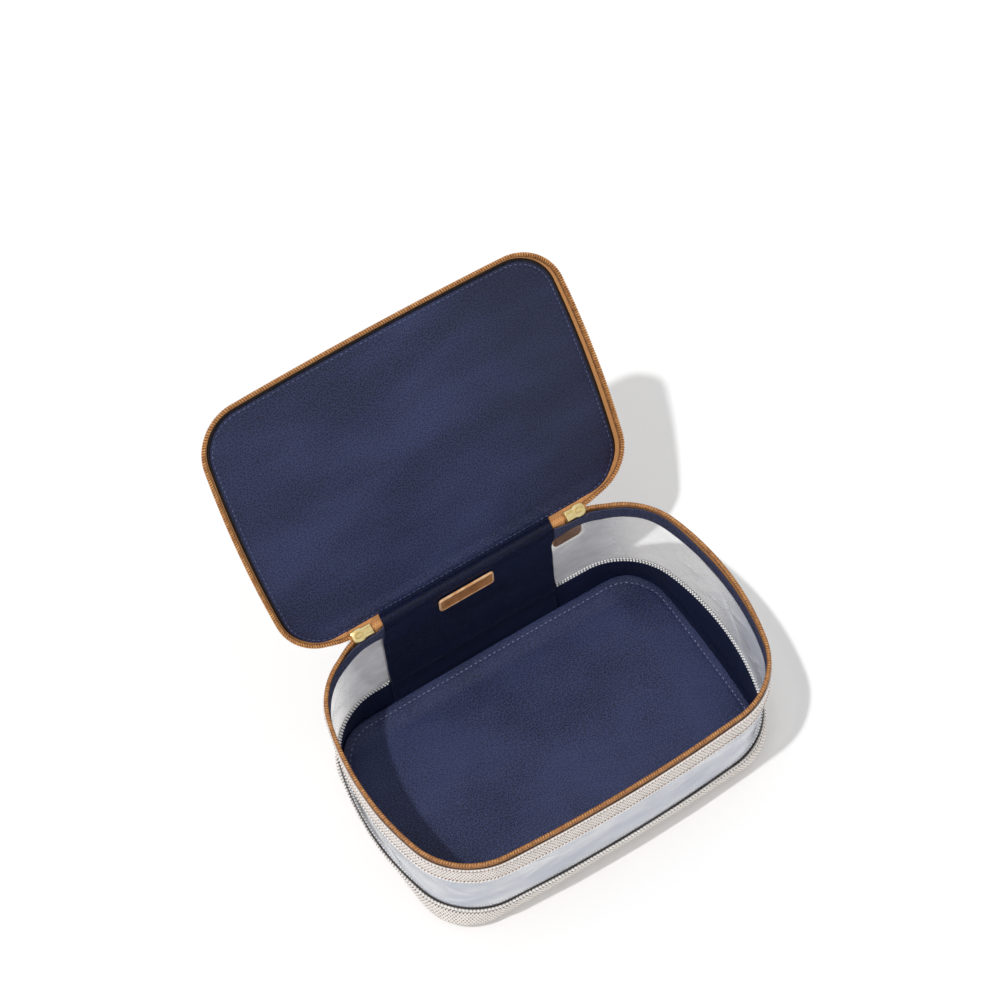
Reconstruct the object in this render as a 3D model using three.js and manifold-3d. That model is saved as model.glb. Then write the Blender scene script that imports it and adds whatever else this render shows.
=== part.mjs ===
// A soft vanity case: a clear-walled base, a flat padded lid and a zip that runs round three sides.
// Millimetres, +Z up. The origin is on the floor under the middle of the base, +Y is the hinge side.
// The case is built standing open, with its two zip sliders drawn back to the ends of the hinge panel.
import * as THREE from 'three';
import { mergeVertices } from 'three/addons/utils/BufferGeometryUtils.js';
import Module from 'manifold-3d';

const wasm = await Module();
wasm.setup();

// Outlines seen from above. The corner, the ends and the long sides are arcs that run into each other.
const rimOutline = {
  halfLength: 135.7, frontDepth: 90.9, backDepth: 88.6,
  cornerRadius: 50.7, endBow: 5.2, frontBow: 3.3, backBow: 0.8,
};
const footTuckEnds = 8.2;          // how far the foot stands in from the rim
const footTuckFront = 8.4;
const footTuckBack = 5.1;
const footOutline = {
  halfLength: rimOutline.halfLength - footTuckEnds,
  frontDepth: rimOutline.frontDepth - footTuckFront,
  backDepth: rimOutline.backDepth - footTuckBack,
  cornerRadius: 31, endBow: 1, frontBow: 1, backBow: 0.6,
};
const wallLean = 1.9;              // how far the wall steps in from the rim to the lower band
const lidHalfLength = 130;
const lidDepth = 179.5;            // from the hinge edge to the front edge
const lidCornerRadius = 34.4;
const lidEndBow = 2.1;
const lidFrontBow = 1.5;
const lidBackBow = 0.4;
const endSteps = 3;
const cornerSteps = 6;
const sideSteps = 4;

// Heights of the base, from the floor.
const rimHeight = 101.6;           // tips of the base's zip teeth
const lowerBandTop = 29;
const upperBandDrop = 6;           // from the rim to the band's top edge
const upperBandHeight = 18.6;
const upperBandTop = rimHeight - upperBandDrop;
const upperBandBottom = upperBandTop - upperBandHeight;
const bandLiningDrop = 4.8;
const bandLiningHeight = 13.8;
const bandLiningTop = rimHeight - bandLiningDrop;
const bandLiningBottom = bandLiningTop - bandLiningHeight;
const seamOverlap = 3.2;             // how far the clear film runs under each band
const footRadius = 11;             // the rounding between the wall and the floor
const footHem = 3;                 // the band's flat turn-in under the floor

// Layers, from the outside in.
const canvasThickness = 1;
const filmThickness = 0.7;
const tapeThickness = 0.7;
const liningThickness = 0.8;
const layerGap = 0.3;
const filmInset = canvasThickness + layerGap;
const liningInset = filmInset + filmThickness + layerGap;

// Floor of the base.
const floorBoardThickness = 2;
const floorBoardInset = 9.6;
const floorPadThickness = 3;
const floorPadInset = 6.4;
const floorPadEdge = 0.8;          // the pad's softened top edge

// Hinge panel and hinge line.
const panelCentreX = -3.5;
const panelHalfWidth = 62.5;
const panelSeam = 4;               // film and tape ends tucked in behind the panel
const hingeSetback = 0.5;
const hingeRise = 0.4;
const openAngleDegrees = 125.3;    // from shut to the photographed rest
const patchLength = 40;
const patchHeight = 13;
const patchThickness = 1.4;
const patchCentreX = -7.4;
const patchDrop = 10.3;            // from the rim to the patch's middle
const patchCornerRadius = 1.6;
const patchRim = 1.4;
const patchRecess = 0.5;
const patchGap = 0.3;               // to the lining behind it

// Zip.
const toothPitch = 4.4;
const toothHeight = 1.1;
const coilHeight = 2.4;            // from the tape's edge to the tooth tips
const coilWidth = 2.6;
const coilOverhang = 0.95;         // how far the coil stands out of the tape, to the outside
const baseTapeDrop = 15;           // woven tape below the coil
const notchReach = 5.3;            // room round the hinge line for the slider to tilt
const notchSpare = 1.6;            // that room goes on past the slider's outer stop

// Lid, as if shut. Heights are from the zip's teeth.
const lidTapeDepth = 8.8;          // from the tooth tips to the lining
const lidFlare = 4;                // the tape spreads outwards from the panel
const lidLean = 3.5;               // the panel lies this much closer to the teeth at the front
const lidBoardThickness = 1.7;
const lidHem = 2.2;                // the cover turned down past the lining
const lidEdgeRadius = 1.6;

// Sliders and pulls.
const leftSliderX = -80;
const rightSliderX = 77;
const sliderLength = 14;
const sliderHeadWidth = 8.4;
const sliderTailWidth = 6.8;
const sliderPlate = 1;
const sliderChannel = 3;
const sliderFlange = 0.9;
const sliderCorner = 1.5;
const wedgeLength = 5;
const wedgeWidth = 3.4;
const chainThickness = 2.3;
const chainWidth = 4.4;
const chainRidge = 0.35;
const chainPitch = 2;
const chainRunIn = 0.6;            // closed chain inside the slider's tail at rest
const slideOut = 4;                // the slider's travel away from the panel
const bridgeLength = 8;
const bridgeBar = 1;
const bridgeWidth = 1.7;
const bridgeShift = 2.6;           // the bridge sits towards the tail
const linkSlip = 2.3;              // the link has slid along the bar, towards the tail
const linkWire = 0.9;
const linkThickness = 1.2;
const linkInnerWidth = 2.8;
const linkInnerLength = 7.4;
const linkClearance = 0.3;
const linkSteps = 5;
const tabWidth = 21.5;
const tabLength = 26;
const tabThickness = 2.2;
const tabCornerRadius = 3.6;
const tabHoleRadius = 1.3;
const tabHoleDrop = 2.5;
const leftPullSwingDegrees = 47;   // the left pull stands out under the lid, the right one hangs

const cutOverrun = 40;             // how far a cutting block runs past what it cuts

// Colours and finishes.
const finish = (color, roughness, metalness) =>
  new THREE.MeshStandardMaterial({ color, roughness, metalness });
const canvasColour = 0xe6ddd2;
const liningColour = 0x232b4e;
const filmColour = 0xc9d2dd;
const tapeColour = 0xc8955c;
const coilColour = 0x9a6534;
const boardColour = 0xb9b4aa;
const brassColour = 0xd8bd7e;
const leatherColour = 0x9c6433;

// Moves an outline inwards on every side. Its arcs stay parallel.
function inward(outline, inset) {
  return {
    ...outline,
    halfLength: outline.halfLength - inset,
    frontDepth: outline.frontDepth - inset,
    backDepth: outline.backDepth - inset,
    cornerRadius: outline.cornerRadius - inset,
  };
}

// Blends two outlines.
function between(low, high, share) {
  const blended = {};
  for (const key of Object.keys(low)) {
    blended[key] = low[key] + (high[key] - low[key]) * share;
  }
  return blended;
}

// The three arcs of one quarter, with their centres in that quarter's own directions.
function quarterArcs(outline, depth, bow) {
  const { halfLength, cornerRadius, endBow } = outline;
  const cornerX = halfLength - cornerRadius - endBow;
  const cornerY = depth - cornerRadius - bow;
  const square = (value) => value * value;
  const endRadius = (square(cornerRadius + endBow) + square(cornerY) - square(cornerRadius)) / (2 * endBow);
  const sideRadius = (square(cornerRadius + bow) + square(cornerX) - square(cornerRadius)) / (2 * bow);
  const endTurn = Math.atan2(cornerY, cornerX - (halfLength - endRadius));
  const sideTurn = Math.PI / 2 - Math.atan2(cornerX, cornerY - (depth - sideRadius));
  return [
    { x: halfLength - endRadius, y: 0, radius: endRadius, from: 0, to: endTurn, steps: endSteps },
    { x: cornerX, y: cornerY, radius: cornerRadius, from: endTurn, to: sideTurn, steps: cornerSteps },
    { x: 0, y: depth - sideRadius, radius: sideRadius, from: sideTurn, to: Math.PI / 2, steps: sideSteps },
  ];
}

// All twelve arcs in order, counterclockwise from the right end's middle.
function outlineArcs(outline) {
  const back = quarterArcs(outline, outline.backDepth, outline.backBow);
  const front = quarterArcs(outline, outline.frontDepth, outline.frontBow);
  const mirrored = (arcs, half, sx, sy) => arcs.map((arc) => (
    { ...arc, x: arc.x * sx, y: arc.y * sy, from: half - arc.to, to: half - arc.from })).reverse();
  const turned = (arcs) => arcs.map((arc) => (
    { ...arc, x: -arc.x, y: -arc.y, from: arc.from + Math.PI, to: arc.to + Math.PI }));
  return [
    ...back,
    ...mirrored(back, Math.PI, -1, 1),
    ...turned(front),
    ...mirrored(front, 2 * Math.PI, 1, -1),
  ];
}

// Points of an outline, close together on the corners and far apart on the long arcs.
function smoothStations(outline) {
  return outlineArcs(outline).flatMap((arc) => Array.from({ length: arc.steps }, (_, step) => {
    const angle = arc.from + (arc.to - arc.from) * step / arc.steps;
    return { x: arc.x + arc.radius * Math.cos(angle), y: arc.y + arc.radius * Math.sin(angle) };
  }));
}

// Points of an outline at even distances, for the teeth.
function evenStations(outline, count) {
  const arcs = outlineArcs(outline);
  const lengths = arcs.map((arc) => arc.radius * (arc.to - arc.from));
  const total = lengths.reduce((sum, length) => sum + length, 0);
  return Array.from({ length: count }, (_, index) => {
    let distance = total * index / count;
    let place = 0;
    while (distance > lengths[place]) {
      distance -= lengths[place];
      place += 1;
    }
    const arc = arcs[place];
    const angle = arc.from + distance / arc.radius;
    return { x: arc.x + arc.radius * Math.cos(angle), y: arc.y + arc.radius * Math.sin(angle) };
  });
}

function outlineLength(outline) {
  return outlineArcs(outline).reduce((sum, arc) => sum + arc.radius * (arc.to - arc.from), 0);
}

// Turns a mesh right side out by the sign of its volume.
function facingOut(geometry) {
  const place = geometry.getAttribute('position');
  const index = geometry.getIndex();
  const corner = [new THREE.Vector3(), new THREE.Vector3(), new THREE.Vector3()];
  let volume = 0;
  for (let at = 0; at < index.count; at += 3) {
    corner.forEach((point, side) => point.fromBufferAttribute(place, index.getX(at + side)));
    volume += corner[0].dot(corner[1].clone().cross(corner[2]));
  }
  if (volume < 0) {
    for (let at = 0; at < index.count; at += 3) {
      const second = index.getX(at + 1);
      index.setX(at + 1, index.getX(at + 2));
      index.setX(at + 2, second);
    }
  }
  return geometry;
}

// Leaves only shared positions, so that the mesh is one closed body.
function welded(geometry) {
  const plain = geometry.clone();
  plain.deleteAttribute('normal');
  plain.deleteAttribute('uv');
  return facingOut(mergeVertices(plain));
}

// A ring whose section is a loop of levels. Each level has an outline and a height.
// A turned ring gives the faces, and its points are then set onto the outlines.
function ring(levels) {
  const loops = levels.map((level) => smoothStations(level.outline));
  return setRing(levels, (station, level) => (
    { ...loops[level][station], z: levels[level].z }), loops[0].length);
}

function setRing(levels, pointAt, stationCount) {
  const section = [...levels, levels[0]].map((_, at) => new THREE.Vector2(1, at));
  const turned = new THREE.LatheGeometry(section, stationCount);
  const place = turned.getAttribute('position');
  for (let at = 0; at < place.count; at += 1) {
    const level = (at % section.length) % levels.length;
    const station = Math.floor(at / section.length) % stationCount;
    const point = pointAt(station, level);
    place.setXYZ(at, point.x, point.y, point.z);
  }
  return welded(turned);
}

// A flat plate with the given outline. A softened edge steps the top in.
function plate(outline, bottom, thickness) {
  const points = smoothStations(outline).map((point) => new THREE.Vector2(point.x, point.y));
  const flat = new THREE.ExtrudeGeometry(new THREE.Shape(points), { depth: thickness, bevelEnabled: false });
  return welded(flat.translate(0, 0, bottom));
}

// Booleans.
function solid(geometry) {
  const closed = welded(geometry);
  return new wasm.Manifold(new wasm.Mesh({
    numProp: 3,
    vertProperties: new Float32Array(closed.getAttribute('position').array),
    triVerts: new Uint32Array(closed.getIndex().array),
  }));
}

function surface(body) {
  const mesh = body.getMesh();
  const geometry = new THREE.BufferGeometry();
  geometry.setAttribute('position', new THREE.BufferAttribute(new Float32Array(mesh.vertProperties), 3));
  geometry.setIndex(new THREE.BufferAttribute(new Uint32Array(mesh.triVerts), 1));
  return geometry;
}

const cut = (geometry, ...cutters) =>
  surface(cutters.reduce((body, cutter) => body.subtract(solid(cutter)), solid(geometry)));
const kept = (geometry, keeper) => surface(solid(geometry).intersect(solid(keeper)));
const joined = (geometry, ...others) =>
  surface(others.reduce((body, other) => body.add(solid(other)), solid(geometry)));

// A block between two corners.
function block(low, high) {
  const size = high.map((value, axis) => value - low[axis]);
  const middle = high.map((value, axis) => (value + low[axis]) / 2);
  return new THREE.BoxGeometry(...size).translate(...middle);
}

// Outlines of the wall at a height.
const lowerBandOutline = inward(rimOutline, wallLean);
function wallOutline(z) {
  if (z <= lowerBandTop) {
    return between(footOutline, lowerBandOutline, z / lowerBandTop);
  }
  return between(lowerBandOutline, rimOutline, (z - lowerBandTop) / (rimHeight - lowerBandTop));
}
const wallLevel = (z, inset) => ({ outline: inward(wallOutline(z), inset), z });

// A strip of wall between two heights, at one depth in the layers. The wall bends at three heights.
const wallBends = [footRadius, lowerBandTop - seamOverlap, lowerBandTop];
function wallStrip(low, high, inset, thickness) {
  const heights = [low, ...wallBends.filter((z) => z > low && z < high), high];
  const outer = heights.map((z) => wallLevel(z, inset));
  const inner = heights.map((z) => wallLevel(z, inset + thickness)).reverse();
  return ring([...outer, ...inner]);
}

// The hinge line, and the blocks that part the wall at the hinge panel.
const hingeY = rimOutline.backDepth + hingeSetback;
const hingeZ = rimHeight + hingeRise;
const panelLeft = panelCentreX - panelHalfWidth;
const panelRight = panelCentreX + panelHalfWidth;
const highest = hingeZ + cutOverrun;
const backBlock = (left, right, low, high) =>
  block([left, rimOutline.cornerRadius, low], [right, hingeY + cutOverrun, high]);
const panelBlock = backBlock(panelLeft, panelRight, -cutOverrun, highest);
const panelGapBlock = backBlock(panelLeft - layerGap, panelRight + layerGap, -cutOverrun, highest);
const seamBlock = backBlock(panelLeft + panelSeam, panelRight - panelSeam, -cutOverrun, highest);
const notchEnd = sliderLength / 2 + slideOut + notchSpare;
const notchLeft = leftSliderX - notchEnd;
const notchRight = rightSliderX + notchEnd;
const notchBlock = backBlock(notchLeft, notchRight, hingeZ - notchReach, hingeZ + notchReach);

// A zip coil: a bead with a toothed edge. Up is where the teeth point.
function zipCoil(outline, rootZ, up) {
  const toothCount = Math.round(outlineLength(outline) / toothPitch);
  const stationCount = toothCount * 2;
  const outerLoop = evenStations(outline, stationCount);
  const innerLoop = evenStations(inward(outline, coilWidth), stationCount);
  const tip = rootZ + coilHeight * up;
  const valley = tip - toothHeight * up;
  const levels = [outerLoop, outerLoop, innerLoop, innerLoop];
  return setRing(levels, (station, level) => {
    const top = station % 2 ? valley : tip;
    return { ...levels[level][station], z: level === 0 || level === 3 ? rootZ : top };
  }, stationCount);
}

// Base.
const base = new THREE.Group();
function add(group, name, geometry, material) {
  const mesh = new THREE.Mesh(geometry, material);
  mesh.name = name;
  group.add(mesh);
  return mesh;
}

// The lower band turns in under the floor with a round foot.
function footSection(inset, radius) {
  const turnSteps = 4;
  return Array.from({ length: turnSteps + 1 }, (_, step) => {
    const angle = Math.PI / 2 * step / turnSteps;
    const z = footRadius - radius * Math.sin(angle);
    return wallLevel(z, inset + radius * (1 - Math.cos(angle)));
  });
}
const hemInset = footRadius + footHem;
const lowerBand = ring([
  wallLevel(lowerBandTop, 0),
  wallLevel(lowerBandTop - seamOverlap, 0),
  ...footSection(0, footRadius),
  wallLevel(0, hemInset),
  wallLevel(canvasThickness, hemInset),
  ...footSection(canvasThickness, footRadius - canvasThickness).reverse(),
  wallLevel(lowerBandTop - seamOverlap, canvasThickness),
  wallLevel(lowerBandTop, canvasThickness),
]);
add(base, 'lower_band', lowerBand, finish(canvasColour, 0.85, 0));
const bottomPanel = plate(inward(footOutline, hemInset + layerGap), 0, canvasThickness);
add(base, 'bottom_panel', bottomPanel, finish(canvasColour, 0.85, 0));

const boardBottom = canvasThickness + layerGap;
const padBottom = boardBottom + floorBoardThickness + layerGap;
const padTop = padBottom + floorPadThickness;
const floorBoard = plate(inward(footOutline, floorBoardInset), boardBottom, floorBoardThickness);
add(base, 'floor_board', floorBoard, finish(boardColour, 0.8, 0));
const padOutline = inward(footOutline, floorPadInset);
const floorPad = joined(
  plate(padOutline, padBottom, floorPadThickness - floorPadEdge),
  plate(inward(padOutline, floorPadEdge), padBottom, floorPadThickness),
);
add(base, 'floor_pad', floorPad, finish(liningColour, 0.5, 0));

const liningFoot = padTop + layerGap;
const liningTop = lowerBandTop + canvasThickness;
const lowerLining = wallStrip(liningFoot, liningTop, liningInset, liningThickness);
add(base, 'lower_band_lining', lowerLining, finish(liningColour, 0.5, 0));

const clearWindow = cut(
  wallStrip(lowerBandTop - seamOverlap, upperBandBottom + seamOverlap, filmInset, filmThickness),
  seamBlock,
);
const filmMaterial = finish(filmColour, 0.15, 0);
filmMaterial.transparent = true;
filmMaterial.opacity = 0.35;
add(base, 'clear_window', clearWindow, filmMaterial);

const upperBand = cut(wallStrip(upperBandBottom, upperBandTop, 0, canvasThickness), panelGapBlock);
add(base, 'upper_band', upperBand, finish(canvasColour, 0.85, 0));
const bandLining = cut(
  wallStrip(bandLiningBottom, bandLiningTop, liningInset, liningThickness),
  panelGapBlock,
  notchBlock,
);
add(base, 'upper_band_lining', bandLining, finish(liningColour, 0.5, 0));

const coilRootZ = rimHeight - coilHeight;
const tapeTop = coilRootZ - layerGap;
const zipTape = cut(
  wallStrip(tapeTop - baseTapeDrop + layerGap, tapeTop, filmInset, tapeThickness),
  seamBlock,
  notchBlock,
);
add(base, 'base_zip_tape', zipTape, finish(tapeColour, 0.8, 0));
const baseCoilOutline = inward(rimOutline, filmInset - coilOverhang);
const coilGapBlock = backBlock(notchLeft, notchRight, -cutOverrun, highest);
const baseCoil = cut(zipCoil(baseCoilOutline, coilRootZ, 1), coilGapBlock);
add(base, 'base_zip_coil', baseCoil, finish(coilColour, 0.6, 0));

const panelTop = rimHeight - layerGap;
const backPanel = kept(
  wallStrip(lowerBandTop + layerGap, panelTop, 0, canvasThickness),
  panelBlock,
);
add(base, 'back_panel', backPanel, finish(canvasColour, 0.85, 0));
const backLining = kept(
  wallStrip(liningTop + layerGap, panelTop, liningInset, liningThickness),
  panelBlock,
);
add(base, 'back_panel_lining', backLining, finish(liningColour, 0.5, 0));

// A rounded rectangle as a shape, centred.
function roundedShape(width, height, radius) {
  const right = width / 2 - radius;
  const top = height / 2 - radius;
  const shape = new THREE.Shape();
  shape.absarc(right, top, radius, 0, Math.PI / 2);
  shape.absarc(-right, top, radius, Math.PI / 2, Math.PI);
  shape.absarc(-right, -top, radius, Math.PI, Math.PI * 1.5);
  shape.absarc(right, -top, radius, Math.PI * 1.5, Math.PI * 2);
  return shape;
}
const extruded = (shape, depth, curveSegments) =>
  new THREE.ExtrudeGeometry(shape, { depth, bevelEnabled: false, curveSegments });

// How far back the panel's lining faces, at a place on it.
function backLiningFace(x, z) {
  const side = quarterArcs(wallOutline(z), wallOutline(z).backDepth, wallOutline(z).backBow)[2];
  const faceRadius = side.radius - liningInset - liningThickness;
  return side.y + Math.sqrt(faceRadius * faceRadius - x * x);
}

// The leather patch is a plain tray with a raised rim, stitched to the lining.
const patchSteps = 4;
const patchBody = extruded(roundedShape(patchLength, patchHeight, patchCornerRadius), patchThickness, patchSteps);
const patchTray = extruded(
  roundedShape(patchLength - 2 * patchRim, patchHeight - 2 * patchRim, patchCornerRadius - patchRim / 2),
  patchThickness,
  patchSteps,
).translate(0, 0, patchThickness - patchRecess);
const patchLining = backLiningFace(patchCentreX, rimHeight - patchDrop - patchHeight / 2);
const patchMesh = add(base, 'leather_patch', cut(patchBody, patchTray), finish(leatherColour, 0.55, 0));
patchMesh.rotation.x = Math.PI / 2;
patchMesh.position.set(
  patchCentreX,
  patchLining - patchGap,
  rimHeight - patchDrop,
);

// Lid, as if shut, inside a group that turns on the hinge line.
const lidPivot = new THREE.Group();
lidPivot.position.set(0, hingeY, hingeZ);
lidPivot.rotation.x = -THREE.MathUtils.degToRad(openAngleDegrees);
const lid = new THREE.Group();
lid.position.set(0, -hingeY, -hingeZ);
lidPivot.add(lid);

const lidEdge = {
  halfLength: lidHalfLength,
  frontDepth: lidDepth - rimOutline.backDepth,
  backDepth: rimOutline.backDepth,
  cornerRadius: lidCornerRadius,
  endBow: lidEndBow,
  frontBow: lidFrontBow,
  backBow: lidBackBow,
};
const lidRoot = { ...inward(lidEdge, lidFlare), backDepth: lidEdge.backDepth, backBow: lidBackBow };
const teethZ = hingeZ + hingeRise;
const lidCoilRoot = teethZ + coilHeight;
const lidLiningZ = teethZ + lidTapeDepth;
const lidTapeBottom = lidCoilRoot + layerGap;
const lidBoardZ = lidLiningZ + liningThickness + layerGap;
const lidCoverZ = lidBoardZ + lidBoardThickness + layerGap;
const lidTopZ = lidCoverZ + canvasThickness;
function lidOutline(z) {
  return between(lidEdge, lidRoot, Math.min(1, (z - teethZ) / lidTapeDepth));
}
const lidLevel = (z, inset) => ({ outline: inward(lidOutline(z), inset), z });
const lidHemBottom = lidLiningZ - lidHem;
const lidBends = [lidHemBottom, lidLiningZ];
function lidStrip(low, high, inset, thickness) {
  const heights = [low, ...lidBends.filter((z) => z > low && z < high), high];
  const outer = heights.map((z) => lidLevel(z, inset));
  const inner = heights.map((z) => lidLevel(z, inset + thickness)).reverse();
  return ring([...outer, ...inner]);
}

// Lets the panel down towards the teeth, from nothing at the hinge edge to the full lean at the front.
function leaned(geometry) {
  const place = geometry.getAttribute('position');
  for (let at = 0; at < place.count; at += 1) {
    const rise = (place.getZ(at) - lidTapeBottom) / (lidLiningZ - lidTapeBottom);
    const forward = (lidEdge.backDepth - place.getY(at)) / lidDepth;
    const drop = lidLean * Math.min(1, Math.max(0, rise)) * Math.max(0, forward);
    place.setZ(at, place.getZ(at) - drop);
  }
  return geometry;
}

const coverShell = ring([
  lidLevel(lidHemBottom, 0),
  lidLevel(lidTopZ - lidEdgeRadius, 0),
  lidLevel(lidTopZ - lidEdgeRadius * (1 - Math.SQRT1_2), lidEdgeRadius * (1 - Math.SQRT1_2)),
  lidLevel(lidTopZ, lidEdgeRadius),
  lidLevel(lidTopZ, hemInset),
  lidLevel(lidCoverZ, hemInset),
  lidLevel(lidCoverZ, lidEdgeRadius),
  lidLevel(lidCoverZ - layerGap, canvasThickness),
  lidLevel(lidHemBottom, canvasThickness),
]);
const lidCover = joined(coverShell, plate(inward(lidOutline(lidTopZ), lidEdgeRadius), lidCoverZ, canvasThickness));
add(lid, 'lid_cover', leaned(lidCover), finish(canvasColour, 0.85, 0));
const lidBoard = plate(inward(lidOutline(lidTopZ), filmInset), lidBoardZ, lidBoardThickness);
add(lid, 'lid_board', leaned(lidBoard), finish(boardColour, 0.8, 0));
const lidLining = plate(inward(lidOutline(lidTopZ), liningInset), lidLiningZ, liningThickness);
add(lid, 'lid_lining', leaned(lidLining), finish(liningColour, 0.5, 0));
const tapeTopZ = lidBoardZ - layerGap;
const lidTape = cut(lidStrip(lidTapeBottom, tapeTopZ, filmInset, tapeThickness), coilGapBlock);
add(lid, 'lid_zip_tape', leaned(lidTape), finish(tapeColour, 0.8, 0));

// Beside the panel the tape's end is turned up over the slider, as a strip of its own.
const tapeEndStrip = lidStrip(hingeZ + notchReach, tapeTopZ, filmInset, tapeThickness);
function tapeEnd(left, right) {
  return kept(tapeEndStrip, backBlock(left, right, -cutOverrun, highest));
}
const leftTapeEnd = tapeEnd(notchLeft + layerGap, panelLeft + panelSeam);
add(lid, 'left_tape_end', leftTapeEnd, finish(tapeColour, 0.8, 0));
const rightTapeEnd = tapeEnd(panelRight - panelSeam, notchRight - layerGap);
add(lid, 'right_tape_end', rightTapeEnd, finish(tapeColour, 0.8, 0));
const lidCoilOutline = inward(lidEdge, filmInset - coilOverhang);
const lidCoil = cut(zipCoil(lidCoilOutline, lidCoilRoot, -1), coilGapBlock);
add(lid, 'lid_zip_coil', lidCoil, finish(coilColour, 0.6, 0));
const hingeBottom = teethZ + layerGap;
const lidHinge = kept(lidStrip(hingeBottom, lidHemBottom - layerGap, 0, canvasThickness), panelBlock);
add(lid, 'lid_hinge_panel', lidHinge, finish(canvasColour, 0.85, 0));
const lidHingeLining = kept(
  lidStrip(hingeBottom, lidLiningZ - layerGap, liningInset, liningThickness),
  panelBlock,
);
add(lid, 'lid_hinge_lining', lidHingeLining, finish(liningColour, 0.5, 0));

// Sliders. In a slider's own frame X runs along the zip towards its open end, Y is the pull's side
// and Z is across the zip. The same shape serves both sides, turned end for end.
function sliderShape(inset) {
  const head = sliderHeadWidth / 2 - inset;
  const tail = sliderTailWidth / 2 - inset;
  const open = sliderLength / 2 - inset;
  const shape = new THREE.Shape();
  shape.moveTo(-open, -tail);
  shape.lineTo(0, -tail);
  shape.lineTo(sliderLength / 5, -head);
  shape.lineTo(open - sliderCorner, -head);
  shape.lineTo(open, 0);
  shape.lineTo(open - sliderCorner, head);
  shape.lineTo(sliderLength / 5, head);
  shape.lineTo(0, tail);
  shape.lineTo(-open, tail);
  shape.closePath();
  return shape;
}

const stackHeight = sliderChannel + 2 * sliderPlate;
function sliderBody() {
  const whole = extruded(sliderShape(0), stackHeight, 1).translate(0, 0, -stackHeight / 2);
  const channel = extruded(sliderShape(sliderFlange), sliderChannel, 1).translate(0, 0, -sliderChannel / 2);
  const mouth = (from, to, halfWidth) => block(
    [from, -halfWidth, -sliderChannel / 2],
    [to, halfWidth, sliderChannel / 2],
  );
  const tailMouth = mouth(-cutOverrun, 0, sliderTailWidth / 2 - sliderFlange);
  const headMouth = mouth(sliderLength / 5, cutOverrun, sliderHeadWidth / 2 - sliderFlange);
  const tapeSlot = block(
    [-cutOverrun, -cutOverrun, -tapeThickness],
    [cutOverrun, cutOverrun, tapeThickness],
  );
  const wedge = new THREE.Shape();
  wedge.moveTo(sliderLength / 2 - sliderCorner / 2, 0);
  wedge.lineTo(sliderLength / 2 - wedgeLength / 2, wedgeWidth / 2);
  wedge.lineTo(sliderLength / 2 - wedgeLength, 0);
  wedge.lineTo(sliderLength / 2 - wedgeLength / 2, -wedgeWidth / 2);
  wedge.closePath();
  const post = extruded(wedge, sliderChannel + sliderPlate, 1).translate(0, 0, -stackHeight / 2 + sliderPlate / 2);
  const shell = cut(whole, channel, tailMouth, headMouth, tapeSlot);
  return joined(shell, post, bridge());
}

// The bridge is an arch over the outer plate, with room under its bar for the link.
const linkOuterRadius = linkInnerWidth / 2 + linkWire;
const barRise = stackHeight / 2 + linkClearance + linkOuterRadius;
function bridge() {
  const foot = stackHeight / 2 - sliderPlate / 2;
  const top = barRise + bridgeBar / 2;
  const arch = block(
    [-bridgeLength / 2 - bridgeShift, -bridgeWidth / 2, foot],
    [bridgeLength / 2 - bridgeShift, bridgeWidth / 2, top],
  );
  const eye = block(
    [-bridgeLength / 2 - bridgeShift + bridgeBar, -cutOverrun, foot - cutOverrun],
    [bridgeLength / 2 - bridgeShift - bridgeBar, cutOverrun, top - bridgeBar],
  );
  return cut(arch, eye);
}

// The closed piece of zip between the panel's seam and the slider, with its teeth as ridges.
function closedChain(length) {
  const steps = 2 * Math.round(length / chainPitch);
  const bar = new THREE.BoxGeometry(length, chainWidth, chainThickness, steps, 1, 1);
  const place = bar.getAttribute('position');
  for (let at = 0; at < place.count; at += 1) {
    const step = Math.round((place.getX(at) / length + 0.5) * steps);
    const low = step % 2 ? chainRidge : 0;
    place.setZ(at, place.getZ(at) - Math.sign(place.getZ(at)) * low);
  }
  return bar;
}

// The wire link hangs on the bridge's bar. Its own origin is the bar's middle, and it hangs down -Z.
function linkShape(halfWidth) {
  const drop = linkInnerLength - linkInnerWidth;
  const shape = new THREE.Shape();
  shape.absarc(0, 0, halfWidth, 0, Math.PI);
  shape.absarc(0, -drop, halfWidth, Math.PI, 2 * Math.PI);
  shape.closePath();
  return shape;
}
function wireLink() {
  const outline = linkShape(linkOuterRadius);
  outline.holes.push(linkShape(linkInnerWidth / 2));
  const flat = extruded(outline, linkThickness, linkSteps).translate(0, 0, -linkThickness / 2);
  return flat.rotateX(Math.PI / 2).rotateZ(Math.PI / 2);
}

// The leather tab hangs on the link's lower bow, which curves up on both sides of its hole.
const linkDrop = linkInnerLength - linkInnerWidth / 2 + linkWire / 4;
function leatherTab() {
  const outline = new THREE.Shape();
  const side = tabWidth / 2;
  const top = tabHoleDrop;
  const bottom = top - tabLength;
  outline.moveTo(-side + tabCornerRadius, top);
  outline.absarc(-side + tabCornerRadius, bottom + tabCornerRadius, tabCornerRadius, Math.PI, Math.PI * 1.5);
  outline.absarc(side - tabCornerRadius, bottom + tabCornerRadius, tabCornerRadius, Math.PI * 1.5, Math.PI * 2);
  outline.absarc(side - tabCornerRadius, top - tabCornerRadius, tabCornerRadius, 0, Math.PI / 2);
  outline.absarc(-side + tabCornerRadius, top - tabCornerRadius, tabCornerRadius, Math.PI / 2, Math.PI);
  outline.closePath();
  const hole = new THREE.Path();
  hole.absarc(0, 0, tabHoleRadius, 0, Math.PI * 2, true);
  outline.holes.push(hole);
  return extruded(outline, tabThickness, linkSteps).translate(0, 0, -tabThickness / 2).rotateX(Math.PI / 2);
}

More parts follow.
